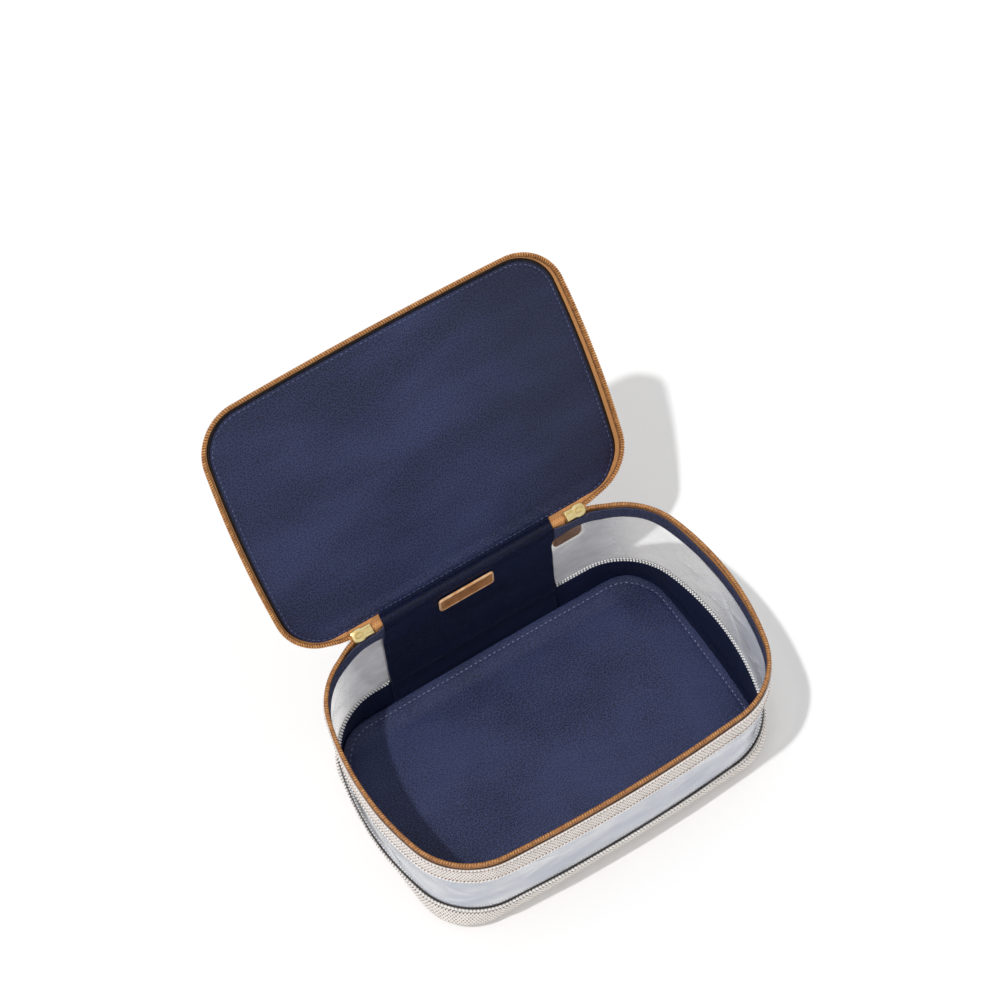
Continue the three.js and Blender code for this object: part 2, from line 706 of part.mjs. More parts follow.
// One side's zip end: it tilts half as far as the lid, and carries its slider.
function zipEnd(side, sliderX, panelEdge, swingDegrees) {
  const outward = Math.sign(sliderX);
  const tail = sliderX - outward * sliderLength / 2;
  const seam = panelEdge + outward * layerGap;
  const chainEnd = tail + outward * chainRunIn;
  const tilt = new THREE.Group();
  tilt.position.set(0, hingeY, hingeZ);
  tilt.rotation.x = -THREE.MathUtils.degToRad(openAngleDegrees / 2);
  const chain = closedChain(Math.abs(chainEnd - seam)).rotateX(-Math.PI / 2);
  const chainMesh = add(tilt, `${side}_closed_chain`, welded(chain), finish(coilColour, 0.6, 0));
  chainMesh.position.x = (chainEnd + seam) / 2;

  const body = sliderBody().rotateX(-Math.PI / 2);
  if (outward < 0) {
    body.rotateY(Math.PI).rotateX(Math.PI);
  }
  const sliderMesh = add(tilt, `${side}_slider`, body, finish(brassColour, 0.3, 0.9));
  sliderMesh.position.x = sliderX;

  // The link and tab keep upright as the slider tilts, so they sit in a group of their own.
  const pull = new THREE.Group();
  pull.position.set(sliderX - outward * (bridgeShift + linkSlip), barRise, 0);
  pull.rotation.x = -tilt.rotation.x + THREE.MathUtils.degToRad(swingDegrees);
  tilt.add(pull);
  add(pull, `${side}_link`, welded(wireLink()), finish(brassColour, 0.3, 0.9));
  const tabMesh = add(pull, `${side}_pull_tab`, welded(leatherTab()), finish(leatherColour, 0.55, 0));
  tabMesh.position.z = -linkDrop;
  return tilt;
}

const vanityCase = new THREE.Group();
vanityCase.add(
  base,
  lidPivot,
  zipEnd('left', leftSliderX, panelLeft, leftPullSwingDegrees),
  zipEnd('right', rightSliderX, panelRight, 0),
);

export default vanityCase;
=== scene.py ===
import math
import bpy
import bmesh
import numpy as np
from mathutils import Matrix, Vector


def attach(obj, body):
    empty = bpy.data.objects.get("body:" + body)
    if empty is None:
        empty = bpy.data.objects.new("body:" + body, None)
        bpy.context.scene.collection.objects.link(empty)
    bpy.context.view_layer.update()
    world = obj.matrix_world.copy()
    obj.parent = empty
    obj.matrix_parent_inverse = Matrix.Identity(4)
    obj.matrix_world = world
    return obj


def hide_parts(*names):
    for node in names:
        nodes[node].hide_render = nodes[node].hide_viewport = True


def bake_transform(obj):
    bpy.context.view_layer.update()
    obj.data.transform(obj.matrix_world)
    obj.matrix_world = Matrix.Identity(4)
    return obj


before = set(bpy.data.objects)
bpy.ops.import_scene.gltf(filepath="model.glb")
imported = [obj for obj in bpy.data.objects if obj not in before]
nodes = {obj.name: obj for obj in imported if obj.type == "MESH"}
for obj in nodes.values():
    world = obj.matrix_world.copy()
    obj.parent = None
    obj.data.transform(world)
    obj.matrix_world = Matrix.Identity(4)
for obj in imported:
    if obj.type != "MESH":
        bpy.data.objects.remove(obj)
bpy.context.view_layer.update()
scene = bpy.context.scene
mm = 0.001

studio = {
    "cameraPlace": (-0.40147, -0.70903, 1.74406),
    "turn": -28.09, "rise": 60.14, "roll": -4.6485, "lens": 107.365,
    "toLight": (-0.364, -0.052, 0.930), "sunShare": 0.40, "sunWidth": 1.8,
    "skyLevel": 0.69, "floorColour": (0.96, 0.96, 0.96),
}


def newObject(name, data):
    made = bpy.data.objects.new(name, data)
    scene.collection.objects.link(made)
    return made


def makeStudio():
    turn, rise, roll = (math.radians(studio[k]) for k in ("turn", "rise", "roll"))
    ahead = Vector((-math.sin(turn) * math.cos(rise), math.cos(turn) * math.cos(rise), -math.sin(rise)))
    side = Vector((math.cos(turn), math.sin(turn), 0))
    up = side.cross(ahead)
    sideRolled = math.cos(roll) * side + math.sin(roll) * up
    upRolled = -math.sin(roll) * side + math.cos(roll) * up
    data = bpy.data.cameras.new("camera")
    data.lens = studio["lens"]
    data.sensor_width = 36
    data.clip_end = 20
    camera = newObject("camera", data)
    turnMatrix = Matrix((sideRolled, upRolled, -ahead)).transposed().to_4x4()
    camera.matrix_world = Matrix.Translation(studio["cameraPlace"]) @ turnMatrix
    scene.camera = camera

    toLight = Vector(studio["toLight"]).normalized()
    sun = bpy.data.lights.new("window", "SUN")
    sun.energy = studio["sunShare"] * math.pi / toLight.z
    sun.angle = math.radians(studio["sunWidth"])
    lamp = newObject("window", sun)
    lamp.rotation_euler = toLight.to_track_quat("Z", "Y").to_euler()
    lamp.location = toLight

    world = bpy.data.worlds.new("studio")
    scene.world = world
    world.use_nodes = True
    tree = world.node_tree
    tree.nodes.clear()
    out = tree.nodes.new("ShaderNodeOutputWorld")
    lit = tree.nodes.new("ShaderNodeBackground")
    seen = tree.nodes.new("ShaderNodeBackground")
    lit.inputs[1].default_value = studio["skyLevel"]
    lit.inputs[0].default_value = (1, 1, 1, 1)
    seen.inputs[0].default_value = (1, 1, 1, 1)
    path = tree.nodes.new("ShaderNodeLightPath")
    mix = tree.nodes.new("ShaderNodeMixShader")
    tree.links.new(path.outputs["Is Camera Ray"], mix.inputs[0])
    tree.links.new(lit.outputs[0], mix.inputs[1])
    tree.links.new(seen.outputs[0], mix.inputs[2])
    tree.links.new(mix.outputs[0], out.inputs[0])

    bpy.ops.mesh.primitive_plane_add(size=14, location=(0, 0, 0))
    floor = bpy.context.object
    floor.name = "paleFloor"
    floor.data.materials.append(plainMaterial("palePaper", studio["floorColour"], 0.9))
    scene.view_settings.view_transform = "Standard"


class Nodes:
    def __init__(self, tree):
        self.tree = tree

    def add(self, kind, **settings):
        node = self.tree.nodes.new(kind)
        for key, value in settings.items():
            setattr(node, key, value)
        return node

    def link(self, a, b):
        self.tree.links.new(a, b)

    def put(self, socket, value):
        if isinstance(value, bpy.types.NodeSocket):
            self.link(value, socket)
        else:
            socket.default_value = value

    def math(self, operation, a, b=0.0, clamp=False):
        node = self.add("ShaderNodeMath", operation=operation, use_clamp=clamp)
        self.put(node.inputs[0], a)
        self.put(node.inputs[1], b)
        return node.outputs[0]

    # Two values, each times its share.
    def weigh(self, a, shareA, b, shareB, clamp=False):
        return self.math("ADD", self.math("MULTIPLY", a, shareA), self.math("MULTIPLY", b, shareB), clamp=clamp)

    def ramp(self, value, low, high, toLow=0.0, toHigh=1.0):
        node = self.add("ShaderNodeMapRange", interpolation_type="SMOOTHSTEP")
        for at, given in enumerate((value, low, high, toLow, toHigh)):
            self.put(node.inputs[at], given)
        return node.outputs[0]

    def blendColour(self, share, a, b):
        node = self.add("ShaderNodeMix", data_type="RGBA")
        for at, given in ((0, share), (6, a), (7, b)):
            if at and isinstance(given, tuple) and len(given) == 3:
                given = (*given, 1)
            self.put(node.inputs[at], given)
        return node.outputs[2]

    def noise(self, vector, scale, detail=2.0, roughness=0.5):
        node = self.add("ShaderNodeTexNoise")
        self.put(node.inputs["Vector"], vector)
        self.put(node.inputs["Scale"], scale)
        node.inputs["Detail"].default_value = detail
        node.inputs["Roughness"].default_value = roughness
        return node.outputs[0]

    def scaled(self, vector, scale):
        node = self.add("ShaderNodeMapping")
        self.put(node.inputs["Vector"], vector)
        node.inputs["Scale"].default_value = scale
        return node.outputs[0]


# The pattern follows the cloth's own map or, on other pieces, the object's coordinates.
def newMaterial(name, onCloth=True):
    material = bpy.data.materials.new(name)
    material.use_nodes = True
    t = Nodes(material.node_tree)
    if onCloth:
        place = t.add("ShaderNodeUVMap", uv_map="cloth").outputs[0]
    else:
        place = t.add("ShaderNodeTexCoord").outputs["Object"]
    return material, t, material.node_tree.nodes["Principled BSDF"], place


def dress(t, shader, colour, values):
    t.put(shader.inputs["Base Color"], colour)
    for key, value in values.items():
        t.put(shader.inputs[key], value)


def plainMaterial(name, colour, roughness):
    material, t, shader, place = newMaterial(name, onCloth=False)
    dress(t, shader, (*colour, 1), {"Roughness": roughness})
    return material


boardLook = {"pale": (0.52, 0.49, 0.43), "dark": (0.39, 0.36, 0.31), "fibres": 420.0, "patches": 60.0}


# Pressed fibre board: fine fibres, and broad pale and dark patches.
def boardMaterial(name):
    look = boardLook
    material, t, shader, place = newMaterial(name, onCloth=False)
    fibres = t.noise(t.scaled(place, (1.0, 3.0, 1.0)), look["fibres"], 4.0, 0.65)
    tone = t.weigh(fibres, 0.6, t.noise(place, look["patches"]), 0.4)
    dress(t, shader, t.blendColour(t.ramp(tone, 0.35, 0.65), look["dark"], look["pale"]),
          {"Roughness": t.ramp(fibres, 0.3, 0.7, 0.86, 0.74)})
    return material


def newGroup(name, inputs, outputs):
    tree = bpy.data.node_groups.new(name, "ShaderNodeTree")
    for label, kind, value in inputs:
        socket = tree.interface.new_socket(label, in_out="INPUT", socket_type=kind)
        if value is not None:
            socket.default_value = value
    for label, kind in outputs:
        tree.interface.new_socket(label, in_out="OUTPUT", socket_type=kind)
    tools = Nodes(tree)
    return tree, tools, tools.add("NodeGroupInput"), tools.add("NodeGroupOutput")


# Fine over-and-under weave: a height for the bump and a mask that darkens between threads, painted shade in the
# gaps.
def weaveGroup():
    tree, t, given, out = newGroup(
        "plainWeave",
        [("Vector", "NodeSocketVector", None), ("Pitch", "NodeSocketFloat", 0.0005)],
        [("Height", "NodeSocketFloat"), ("Mask", "NodeSocketFloat")])
    split = t.add("ShaderNodeSeparateXYZ")
    t.link(given.outputs["Vector"], split.inputs[0])
    turns = t.math("DIVIDE", math.pi, given.outputs["Pitch"])
    across = t.math("SINE", t.math("MULTIPLY", split.outputs[0], turns))
    along = t.math("SINE", t.math("MULTIPLY", split.outputs[1], turns))
    crossing = t.math("MULTIPLY", across, along)
    height = t.math("ADD", t.math("MULTIPLY", crossing, 0.5), 0.5)
    t.link(height, out.inputs["Height"])
    t.link(t.ramp(height, 0.1, 0.6), out.inputs["Mask"])
    return tree


# Small woven dots on a diagonal grid, every other row in the second colour.
def dotGroup():
    tree, t, given, out = newGroup(
        "wovenDots",
        [("Vector", "NodeSocketVector", None), ("Pitch", "NodeSocketFloat", 0.0017),
         ("Size", "NodeSocketFloat", 0.5)],
        [("Dots", "NodeSocketFloat"), ("Row", "NodeSocketFloat"), ("Height", "NodeSocketFloat")])
    split = t.add("ShaderNodeSeparateXYZ")
    t.link(given.outputs["Vector"], split.inputs[0])
    turns = t.math("DIVIDE", math.pi, given.outputs["Pitch"])
    diagonal = t.math("MULTIPLY", t.math("ADD", split.outputs[0], split.outputs[1]), turns)
    other = t.math("MULTIPLY", t.math("SUBTRACT", split.outputs[0], split.outputs[1]), turns)
    peaks = t.math("MULTIPLY", t.math("COSINE", diagonal), t.math("COSINE", other))
    level = t.math("ABSOLUTE", peaks)
    edge = t.math("SUBTRACT", 1.0, given.outputs["Size"])
    t.link(t.ramp(level, edge, t.math("ADD", edge, 0.25)), out.inputs["Dots"])
    row = t.math("SINE", t.math("MULTIPLY", split.outputs[1], turns))
    t.link(t.ramp(row, -0.2, 0.2), out.inputs["Row"])
    t.link(level, out.inputs["Height"])
    return tree


groups = {}


def useGroup(t, name, vector, **values):
    node = t.add("ShaderNodeGroup")
    node.node_tree = groups[name]
    t.link(vector, node.inputs["Vector"])
    for key, value in values.items():
        t.put(node.inputs[key], value)
    return node.outputs


def bump(t, shader, height, strength, distance):
    node = t.add("ShaderNodeBump")
    node.inputs["Strength"].default_value = strength
    node.inputs["Distance"].default_value = distance
    t.link(height, node.inputs["Height"])
    t.link(node.outputs[0], shader.inputs["Normal"])


canvasLook = {
    "cotton": (0.87, 0.81, 0.765), "shade": (0.70, 0.65, 0.61),
    "brownDot": (0.17, 0.085, 0.05), "darkDot": (0.035, 0.025, 0.022),
    "pitch": 2.3 * mm, "thread": 0.42 * mm, "rise": 0.5, "dotSize": 0.5,
    "roughness": 0.85, "sheen": 0.15,
}


def canvasMaterial(name, darkShare):
    look = canvasLook
    material, t, shader, place = newMaterial(name)
    tall = t.scaled(place, (1.0, look["rise"], 1.0))
    dots = useGroup(t, "wovenDots", tall, Pitch=look["pitch"], Size=look["dotSize"])
    weave = useGroup(t, "plainWeave", place, Pitch=look["thread"])
    # Random patches of the darker cotton tone; the same tone shows between the threads as painted shade.
    base = t.blendColour(t.ramp(t.noise(place, 90.0, 3.0), 0.3, 0.7), look["shade"], look["cotton"])
    base = t.blendColour(t.math("MULTIPLY", weave["Mask"], 0.75, clamp=True), base, look["cotton"])
    dotColour = t.blendColour(t.math("MULTIPLY", dots["Row"], darkShare), look["brownDot"], look["darkDot"])
    strength = t.ramp(t.noise(place, 300.0, 1.0), 0.3, 0.7, 0.45, 1.0)
    dress(t, shader, t.blendColour(t.math("MULTIPLY", dots["Dots"], strength), base, dotColour),
          {"Roughness": look["roughness"], "Sheen Weight": look["sheen"]})
    bump(t, shader, t.math("ADD", t.math("MULTIPLY", weave["Height"], 0.4), dots["Height"]), 0.5, 0.25 * mm)
    return material


nylonLook = {
    "light": (0.040, 0.054, 0.150), "dark": (0.0010, 0.0025, 0.018),
    # Darker tones of the same navy, for the panel and the lower lining: painted shade.
    "shadedLight": (0.009, 0.014, 0.052), "shadedDark": (0.0006, 0.0012, 0.008),
    "thread": 0.55 * mm, "grain": 1050.0, "roughness": 0.42,
    "sheen": 0.05, "sheenTint": (0.45, 0.55, 0.95, 1), "sheenBands": 0.34, "grainShare": 0.66,
}


# Navy satin: grainy weave, whose light flecks are partly painted thread glints, and broad soft bands of painted
# sheen.
# A last argument below 1 darkens it to the right: painted shade.
def nylonMaterial(name, sheenBandScale=(9.0, 24.0, 1.0), lift=1.0, roughness=None, tones=("dark", "light"),
                  shine=0.34, paintedShadeRight=1.0):
    look = nylonLook
    material, t, shader, place = newMaterial(name)
    weave = useGroup(t, "plainWeave", place, Pitch=look["thread"])
    grain = t.ramp(t.noise(place, look["grain"], 2.0, 0.7), 0.45, 0.56)
    # Broad soft bands of painted sheen, lighter across the cloth.
    sheenBands = t.noise(t.scaled(place, sheenBandScale), 1.0, 2.0, 0.55)
    share = t.weigh(t.ramp(sheenBands, 0.3, 0.72), look["sheenBands"], grain, look["grainShare"])
    share = t.math("MULTIPLY", share, lift, clamp=True)
    # Painted shade: the cloth grows darker towards the right.
    if paintedShadeRight < 1:
        spot = t.add("ShaderNodeSeparateXYZ")
        t.link(place, spot.inputs[0])
        across = t.math("ADD", spot.outputs[0], t.math("MULTIPLY", t.noise(place, 14.0), 0.05))
        share = t.math("MULTIPLY", share, t.ramp(across, 0.04, 0.13, 1.0, paintedShadeRight))
    dress(t, shader, t.blendColour(share, look[tones[0]], look[tones[1]]),
          {"Roughness": roughness or look["roughness"], "Specular IOR Level": shine,
           "Sheen Weight": look["sheen"], "Sheen Tint": look["sheenTint"]})
    bump(t, shader, t.math("ADD", weave["Height"], t.math("MULTIPLY", grain, 1.2)), 0.5, 0.2 * mm)
    return material


ribbonLook = {
    "dark": (0.002, 0.004, 0.016), "light": (0.075, 0.085, 0.18), "thread": 0.75 * mm, "grain": 700.0,
    "grainRough": 0.7, "grainEdges": (0.42, 0.6), "gapShadeShare": 0.3, "grainShare": 0.7,
    "roughness": 0.7, "depth": 0.3 * mm,
}
tapeLook = {
    "dark": (0.34, 0.12, 0.03), "light": (0.78, 0.38, 0.14), "thread": 0.8 * mm, "grain": 600.0,
    "grainRough": 0.6, "grainEdges": None, "gapShadeShare": 0.6, "grainShare": 0.45,
    "roughness": 0.8, "depth": 0.25 * mm,
}


# Ribbed weave, for the ribbon inside the rim and for the zip's tape.
def ribbedMaterial(name, look):
    material, t, shader, place = newMaterial(name)
    weave = useGroup(t, "plainWeave", place, Pitch=look["thread"])
    grain = t.noise(place, look["grain"], 2.0, look["grainRough"])
    if look["grainEdges"]:
        grain = t.ramp(grain, *look["grainEdges"])
    # Darker between the threads: painted shade in the gaps.
    share = t.weigh(weave["Mask"], look["gapShadeShare"], grain, look["grainShare"], clamp=True)
    dress(t, shader, t.blendColour(share, look["dark"], look["light"]), {"Roughness": look["roughness"]})
    bump(t, shader, weave["Height"], 0.6, look["depth"])
    return material


def threadMaterial(name, colour, other, scale=500.0, detail=1.0, low=0.35, roughness=0.6):
    material, t, shader, place = newMaterial(name, onCloth=False)
    share = t.ramp(t.noise(place, scale, detail), low, 1 - low)
    dress(t, shader, t.blendColour(share, colour, other), {"Roughness": roughness})
    return material


brassLook = {"light": (0.96, 0.82, 0.44), "dark": (0.74, 0.56, 0.23), "wear": 380.0}


def brassMaterial(name):
    look = brassLook
    material, t, shader, place = newMaterial(name, onCloth=False)
    worn = t.noise(place, look["wear"], 4.0, 0.6)
    dress(t, shader, t.blendColour(t.ramp(worn, 0.3, 0.7), look["dark"], look["light"]),
          {"Roughness": t.ramp(worn, 0.3, 0.7, 0.42, 0.26), "Metallic": 1.0})
    bump(t, shader, worn, 0.08, 0.1 * mm)
    return material


leatherLook = {
    # deep, the darkest tone, is used for the pull tab: painted shade.
    "light": (0.56, 0.25, 0.085), "dark": (0.34, 0.135, 0.042), "deep": (0.20, 0.078, 0.028),
    "edge": (0.84, 0.56, 0.33), "pores": 1500.0,
}


def leatherMaterial(name, colours=("dark", "light")):
    look = leatherLook
    material, t, shader, place = newMaterial(name, onCloth=False)
    pores = t.add("ShaderNodeTexVoronoi", feature="F1")
    t.link(place, pores.inputs["Vector"])
    pores.inputs["Scale"].default_value = look["pores"]
    tone = t.noise(place, 140.0, 3.0, 0.6)
    dress(t, shader, t.blendColour(t.ramp(tone, 0.3, 0.7), look[colours[0]], look[colours[1]]),
          {"Roughness": t.ramp(tone, 0.3, 0.7, 0.55, 0.4)})
    bump(t, shader, pores.outputs["Distance"], 0.25, 0.2 * mm)
    return material


filmLook = {
    "tint": (0.64, 0.68, 0.77), "shadedTintBehind": (0.56, 0.55, 0.59), "pale": (0.95, 0.96, 0.98),
    "haze": 0.40, "hazeAtEdge": 0.60, "hazeAtEnds": 0.14, "shade": 0.75, "roughness": 0.12,
    "endsX": (0.088, 0.118), "endsY": (-0.03, 0.02), "behindY": (-0.02, 0.03),
    "tabLeftX": (0.050, 0.058), "tabRightX": (0.0850, 0.0770), "tabLowZ": (0.0725, 0.0795),
    "tabY": (0.0, 0.05), "tabClears": 0.95,
}


# Clear soft film. It clouds over where it is seen at a slant and along its creases.
def filmMaterial(name):
    look = filmLook
    material, t, shader, place = newMaterial(name)
    facing = t.add("ShaderNodeLayerWeight")
    facing.inputs["Blend"].default_value = 0.5
    clouds = t.noise(t.scaled(place, (1.0, 2.2, 1.0)), 28.0, 3.0, 0.55)
    crease = t.add("ShaderNodeAttribute", attribute_name="crease").outputs["Fac"]
    haze = t.ramp(facing.outputs["Facing"], 0.2, 0.75, look["haze"], look["hazeAtEdge"])
    spot = t.add("ShaderNodeSeparateXYZ")
    t.link(t.add("ShaderNodeTexCoord").outputs["Object"], spot.inputs[0])
    x, y, z = spot.outputs
    # Clearer at the two ends of the back.
    ends = t.math("MULTIPLY", t.ramp(t.math("ABSOLUTE", x), *look["endsX"]), t.ramp(y, *look["endsY"]))
    haze = t.math("ADD", haze, t.math("MULTIPLY", ends, t.math("SUBTRACT", look["hazeAtEnds"], haze)))
    # Where the tab lies against it, the film is clear.
    pressed = t.ramp(y, *look["tabY"])
    for value, edges in ((x, look["tabLeftX"]), (x, look["tabRightX"]), (z, look["tabLowZ"])):
        pressed = t.math("MULTIPLY", pressed, t.ramp(value, *edges))
    haze = t.math("MULTIPLY", haze, t.math("SUBTRACT", 1.0, t.math("MULTIPLY", pressed, look["tabClears"])))
    haze = t.math("ADD", haze, t.math("MULTIPLY", t.math("SUBTRACT", clouds, 0.5), 0.25))
    haze = t.math("ADD", haze, t.math("MULTIPLY", crease, 0.3), clamp=True)
    shadow = t.add("ShaderNodeLightPath").outputs["Is Shadow Ray"]
    haze = t.math("ADD", haze, t.math("MULTIPLY", shadow, t.math("SUBTRACT", look["shade"], haze)))
    # Paler where the film is cloudy, and paler still along the creases, whose white stands for glints: painted
    # highlight.
    tone = t.ramp(t.math("ADD", clouds, t.math("MULTIPLY", crease, 0.5)), 0.3, 0.85)
    # Greyer and darker towards the back, where the lid shades the film: painted shade.
    tint = t.blendColour(t.ramp(y, *look["behindY"]), look["tint"], look["shadedTintBehind"])
    dress(t, shader, t.blendColour(tone, tint, look["pale"]),
          {"Alpha": haze, "Roughness": look["roughness"], "Coat Weight": 0.5, "Coat Roughness": 0.05})
    return material


rimOutline = {"halfLength": 135.7, "frontDepth": 90.9, "backDepth": 88.6, "corner": 50.7,
              "endBow": 5.2, "frontBow": 3.3, "backBow": 0.8}
footOutline = {"halfLength": 127.5, "frontDepth": 82.5, "backDepth": 83.5, "corner": 31,
               "endBow": 1, "frontBow": 1, "backBow": 0.6}
lidOutline = {"halfLength": 130.0, "frontDepth": 90.9, "backDepth": 88.6, "corner": 34.4,
              "endBow": 2.1, "frontBow": 1.5, "backBow": 0.4}
rimHeight, bandTop, wallLean = 101.6, 29.0, 1.9
panelLeft, panelRight = -66.0, 59.0
hingeY, hingeZ, openAngle = 89.1, 102.0, 125.3


def quarter(o, depth, bow, inset):
    half, corner = o["halfLength"], o["corner"]
    cornerX = half - corner - o["endBow"]
    cornerY = depth - corner - bow
    endRadius = ((corner + o["endBow"]) ** 2 + cornerY ** 2 - corner ** 2) / (2 * o["endBow"])
    sideRadius = ((corner + bow) ** 2 + cornerX ** 2 - corner ** 2) / (2 * bow)
    endTurn = math.atan2(cornerY, cornerX - (half - endRadius))
    sideTurn = math.pi / 2 - math.atan2(cornerX, cornerY - (depth - sideRadius))
    rows = []
    for x, y, radius, start, stop, count in (
            (half - endRadius, 0, endRadius, 0, endTurn, 24),
            (cornerX, cornerY, corner, endTurn, sideTurn, 48),
            (0, depth - sideRadius, sideRadius, sideTurn, math.pi / 2, 40)):
        turn = np.linspace(start, stop, count + 1)
        r = radius - inset
        rows.append(np.stack([x + r * np.cos(turn), y + r * np.sin(turn), np.cos(turn), np.sin(turn)], 1)[:-1])
    last = np.array([[0, depth - inset, 0, 1.0]])
    return np.vstack(rows + [last])


# x, y and the outward direction, from the middle of the back, round by the left end.
def outlineLoop(o, inset=0.0):
    back = quarter(o, o["backDepth"], o["backBow"], inset)
    front = quarter(o, o["frontDepth"], o["frontBow"], inset)
    flip = lambda q, sx, sy: q * np.array([sx, sy, sx, sy])
    return np.vstack([flip(back, -1, 1)[::-1][:-1], flip(front, -1, -1)[:-1],
                      flip(front, 1, -1)[::-1][:-1], back])


def runOf(loop):
    return np.concatenate([[0], np.cumsum(np.linalg.norm(np.diff(loop[:, :2], axis=0), axis=1))])


# Points along a loop. A gap leaves out the back between two places in x.
def stations(loop, count, gap=None):
    run = runOf(loop)
    low, high = 0.0, run[-1]
    if gap:
        n = len(loop) // 4
        low = np.interp(-gap[0], -loop[:n, 0], run[:n])
        high = np.interp(-gap[1], -loop[-n:, 0], run[-n:])
    at = np.linspace(low, high, count)
    found = np.stack([np.interp(at, run, loop[:, k]) for k in range(4)], 1)
    found[:, 2:] /= np.linalg.norm(found[:, 2:], axis=1)[:, None]
    return found, at


def mixOutline(low, high, share):
    return {k: low[k] + (high[k] - low[k]) * share for k in low}


def inward(o, inset):
    moved = dict(o)
    for key in ("halfLength", "frontDepth", "backDepth", "corner"):
        moved[key] = o[key] - inset
    return moved


bandOutline = inward(rimOutline, wallLean)


def wallOutline(z):
    if z <= bandTop:
        return mixOutline(footOutline, bandOutline, max(z, 0) / bandTop)
    return mixOutline(bandOutline, rimOutline, (z - bandTop) / (rimHeight - bandTop))


lidPlan = {"teeth": 102.4, "depth": 8.8, "flare": 4.0, "tapeLow": 105.1, "lean": 3.5,
           "length": 179.5}
lidRoot = {**inward(lidOutline, lidPlan["flare"]), "backDepth": lidOutline["backDepth"]}


def lidWall(z):
    return mixOutline(lidOutline, lidRoot, min(1.0, max(0.0, (z - lidPlan["teeth"]) / lidPlan["depth"])))


# The panel lies closer to the teeth towards the front.
def leaned(points):
    top = lidPlan["teeth"] + lidPlan["depth"]
    rise = np.clip((points[:, 2] - lidPlan["tapeLow"]) / (top - lidPlan["tapeLow"]), 0, 1)
    ahead = np.maximum(0, (lidOutline["backDepth"] - points[:, 1]) / lidPlan["length"])
    moved = points.copy()
    moved[:, 2] -= lidPlan["lean"] * rise * ahead
    return moved


def turnLid(points, share=1.0):
    angle = -np.radians(openAngle) * share
    y, z = points[..., 1] - hingeY, points[..., 2] - hingeZ
    turned = points.copy()
    turned[..., 1] = hingeY + y * np.cos(angle) - z * np.sin(angle)
    turned[..., 2] = hingeZ + y * np.sin(angle) + z * np.cos(angle)
    return turned


def openLid(points):
    return turnLid(leaned(points))


def meshVolume(points, faces):
    total = 0.0
    for face in faces:
        a = points[face[0]]
        for k in range(1, len(face) - 1):
            total += np.dot(a, np.cross(points[face[k]], points[face[k + 1]]))
    return total


def makePiece(name, points, faces, material, uvs=None, closed=True):
    points = np.asarray(points, float).reshape(-1, 3)
    if closed and meshVolume(points, faces) < 0:
        faces = [list(reversed(face)) for face in faces]
        uvs = [list(reversed(uv)) for uv in uvs] if uvs else None
    mesh = bpy.data.meshes.new(name)
    mesh.from_pydata((points * mm).tolist(), [], faces)
    if uvs:
        layer = mesh.uv_layers.new(name="cloth")
        flat = np.array([value for uv in uvs for pair in uv for value in pair], np.float32) * mm
        layer.data.foreach_set("uv", flat)
    mesh.shade_smooth()
    piece = newObject(name, mesh)
    piece.data.materials.append(material)
    return piece


# Four-sided faces between rows of points, and from the last row to the first where roundAll is set.
def ringFaces(rows, count, roundRow=True, roundAll=False):
    faces = []
    for j in range(rows if roundAll else rows - 1):
        for i in range(count if roundRow else count - 1):
            k, n = (j + 1) % rows, (i + 1) % count
            faces.append([j * count + i, j * count + n, k * count + n, k * count + i])
    return faces


def atHeight(found, z):
    return np.column_stack([found[:, :2], np.full(len(found), z, float)])


def smooth(value):
    value = np.clip(value, 0, 1)
    return value * value * (3 - 2 * value)


# A wall's line at one height, moved in and out by wave.
def wallRow(found, at, z, wave):
    row = atHeight(found, z)
    if wave:
        row[:, :2] += found[:, 2:] * wave(at, z)[:, None]
    return row


# A strip of cloth from its section (height, inset) swept round a wall.
def sweep(name, section, material, wall, columns=420, gap=None, wave=None, place=None):
    grid, runs = [], None
    for z, inset in section:
        found, at = stations(outlineLoop(wall(z), inset), columns + 1, gap)
        runs = at if runs is None else runs
        grid.append(wallRow(found, at, z, wave))
    grid = np.array(grid)
    if not gap:
        grid = grid[:, :-1]
    levels, count = grid.shape[:2]
    ends = list(section) + [section[0]]
    heights = np.concatenate([[0], np.cumsum([math.dist(ends[k], ends[k + 1]) for k in range(levels)])])
    faces = ringFaces(levels, count, roundRow=not gap, roundAll=True)
    uvs = [[(runs[i + a], heights[j + b]) for a, b in ((0, 0), (1, 0), (1, 1), (0, 1))]
           for j in range(levels) for i in range(count - 1 if gap else count)]
    if gap:
        for i, order in ((0, 1), (count - 1, -1)):
            faces.append([j * count + i for j in range(levels)][::order])
            uvs.append([(runs[i], heights[j]) for j in range(levels)][::order])
    points = grid.reshape(-1, 3)
    return makePiece(name, place(points) if place else points, faces, material, uvs)


# A cloth strip's section: two faces with rows of points, and rolled edges.
def bandSection(low, high, inset, thickness, rows):
    roll = thickness * 0.35
    outer = [(z, inset) for z in np.linspace(high - roll, low + roll, rows)]
    inner = [(z, inset + thickness) for z in np.linspace(low + roll, high - roll, rows)]
    return outer + [(low, inset + thickness * 0.3), (low, inset + thickness * 0.7)] + inner + [
        (high, inset + thickness * 0.7), (high, inset + thickness * 0.3)]


def ripples(seed, count, longest, shortest, strength):
    chance = np.random.default_rng(seed)
    waves = [(2 * math.pi / chance.uniform(shortest, longest), chance.uniform(-0.05, 0.05),
              chance.uniform(0, 2 * math.pi), chance.uniform(0.4, 1.0)) for _ in range(count)]
    total = sum(w[3] for w in waves)

    def height(run, z):
        return sum(a * np.sin(k * run + tilt * z + phase) for k, tilt, phase, a in waves) / total * strength
    return height


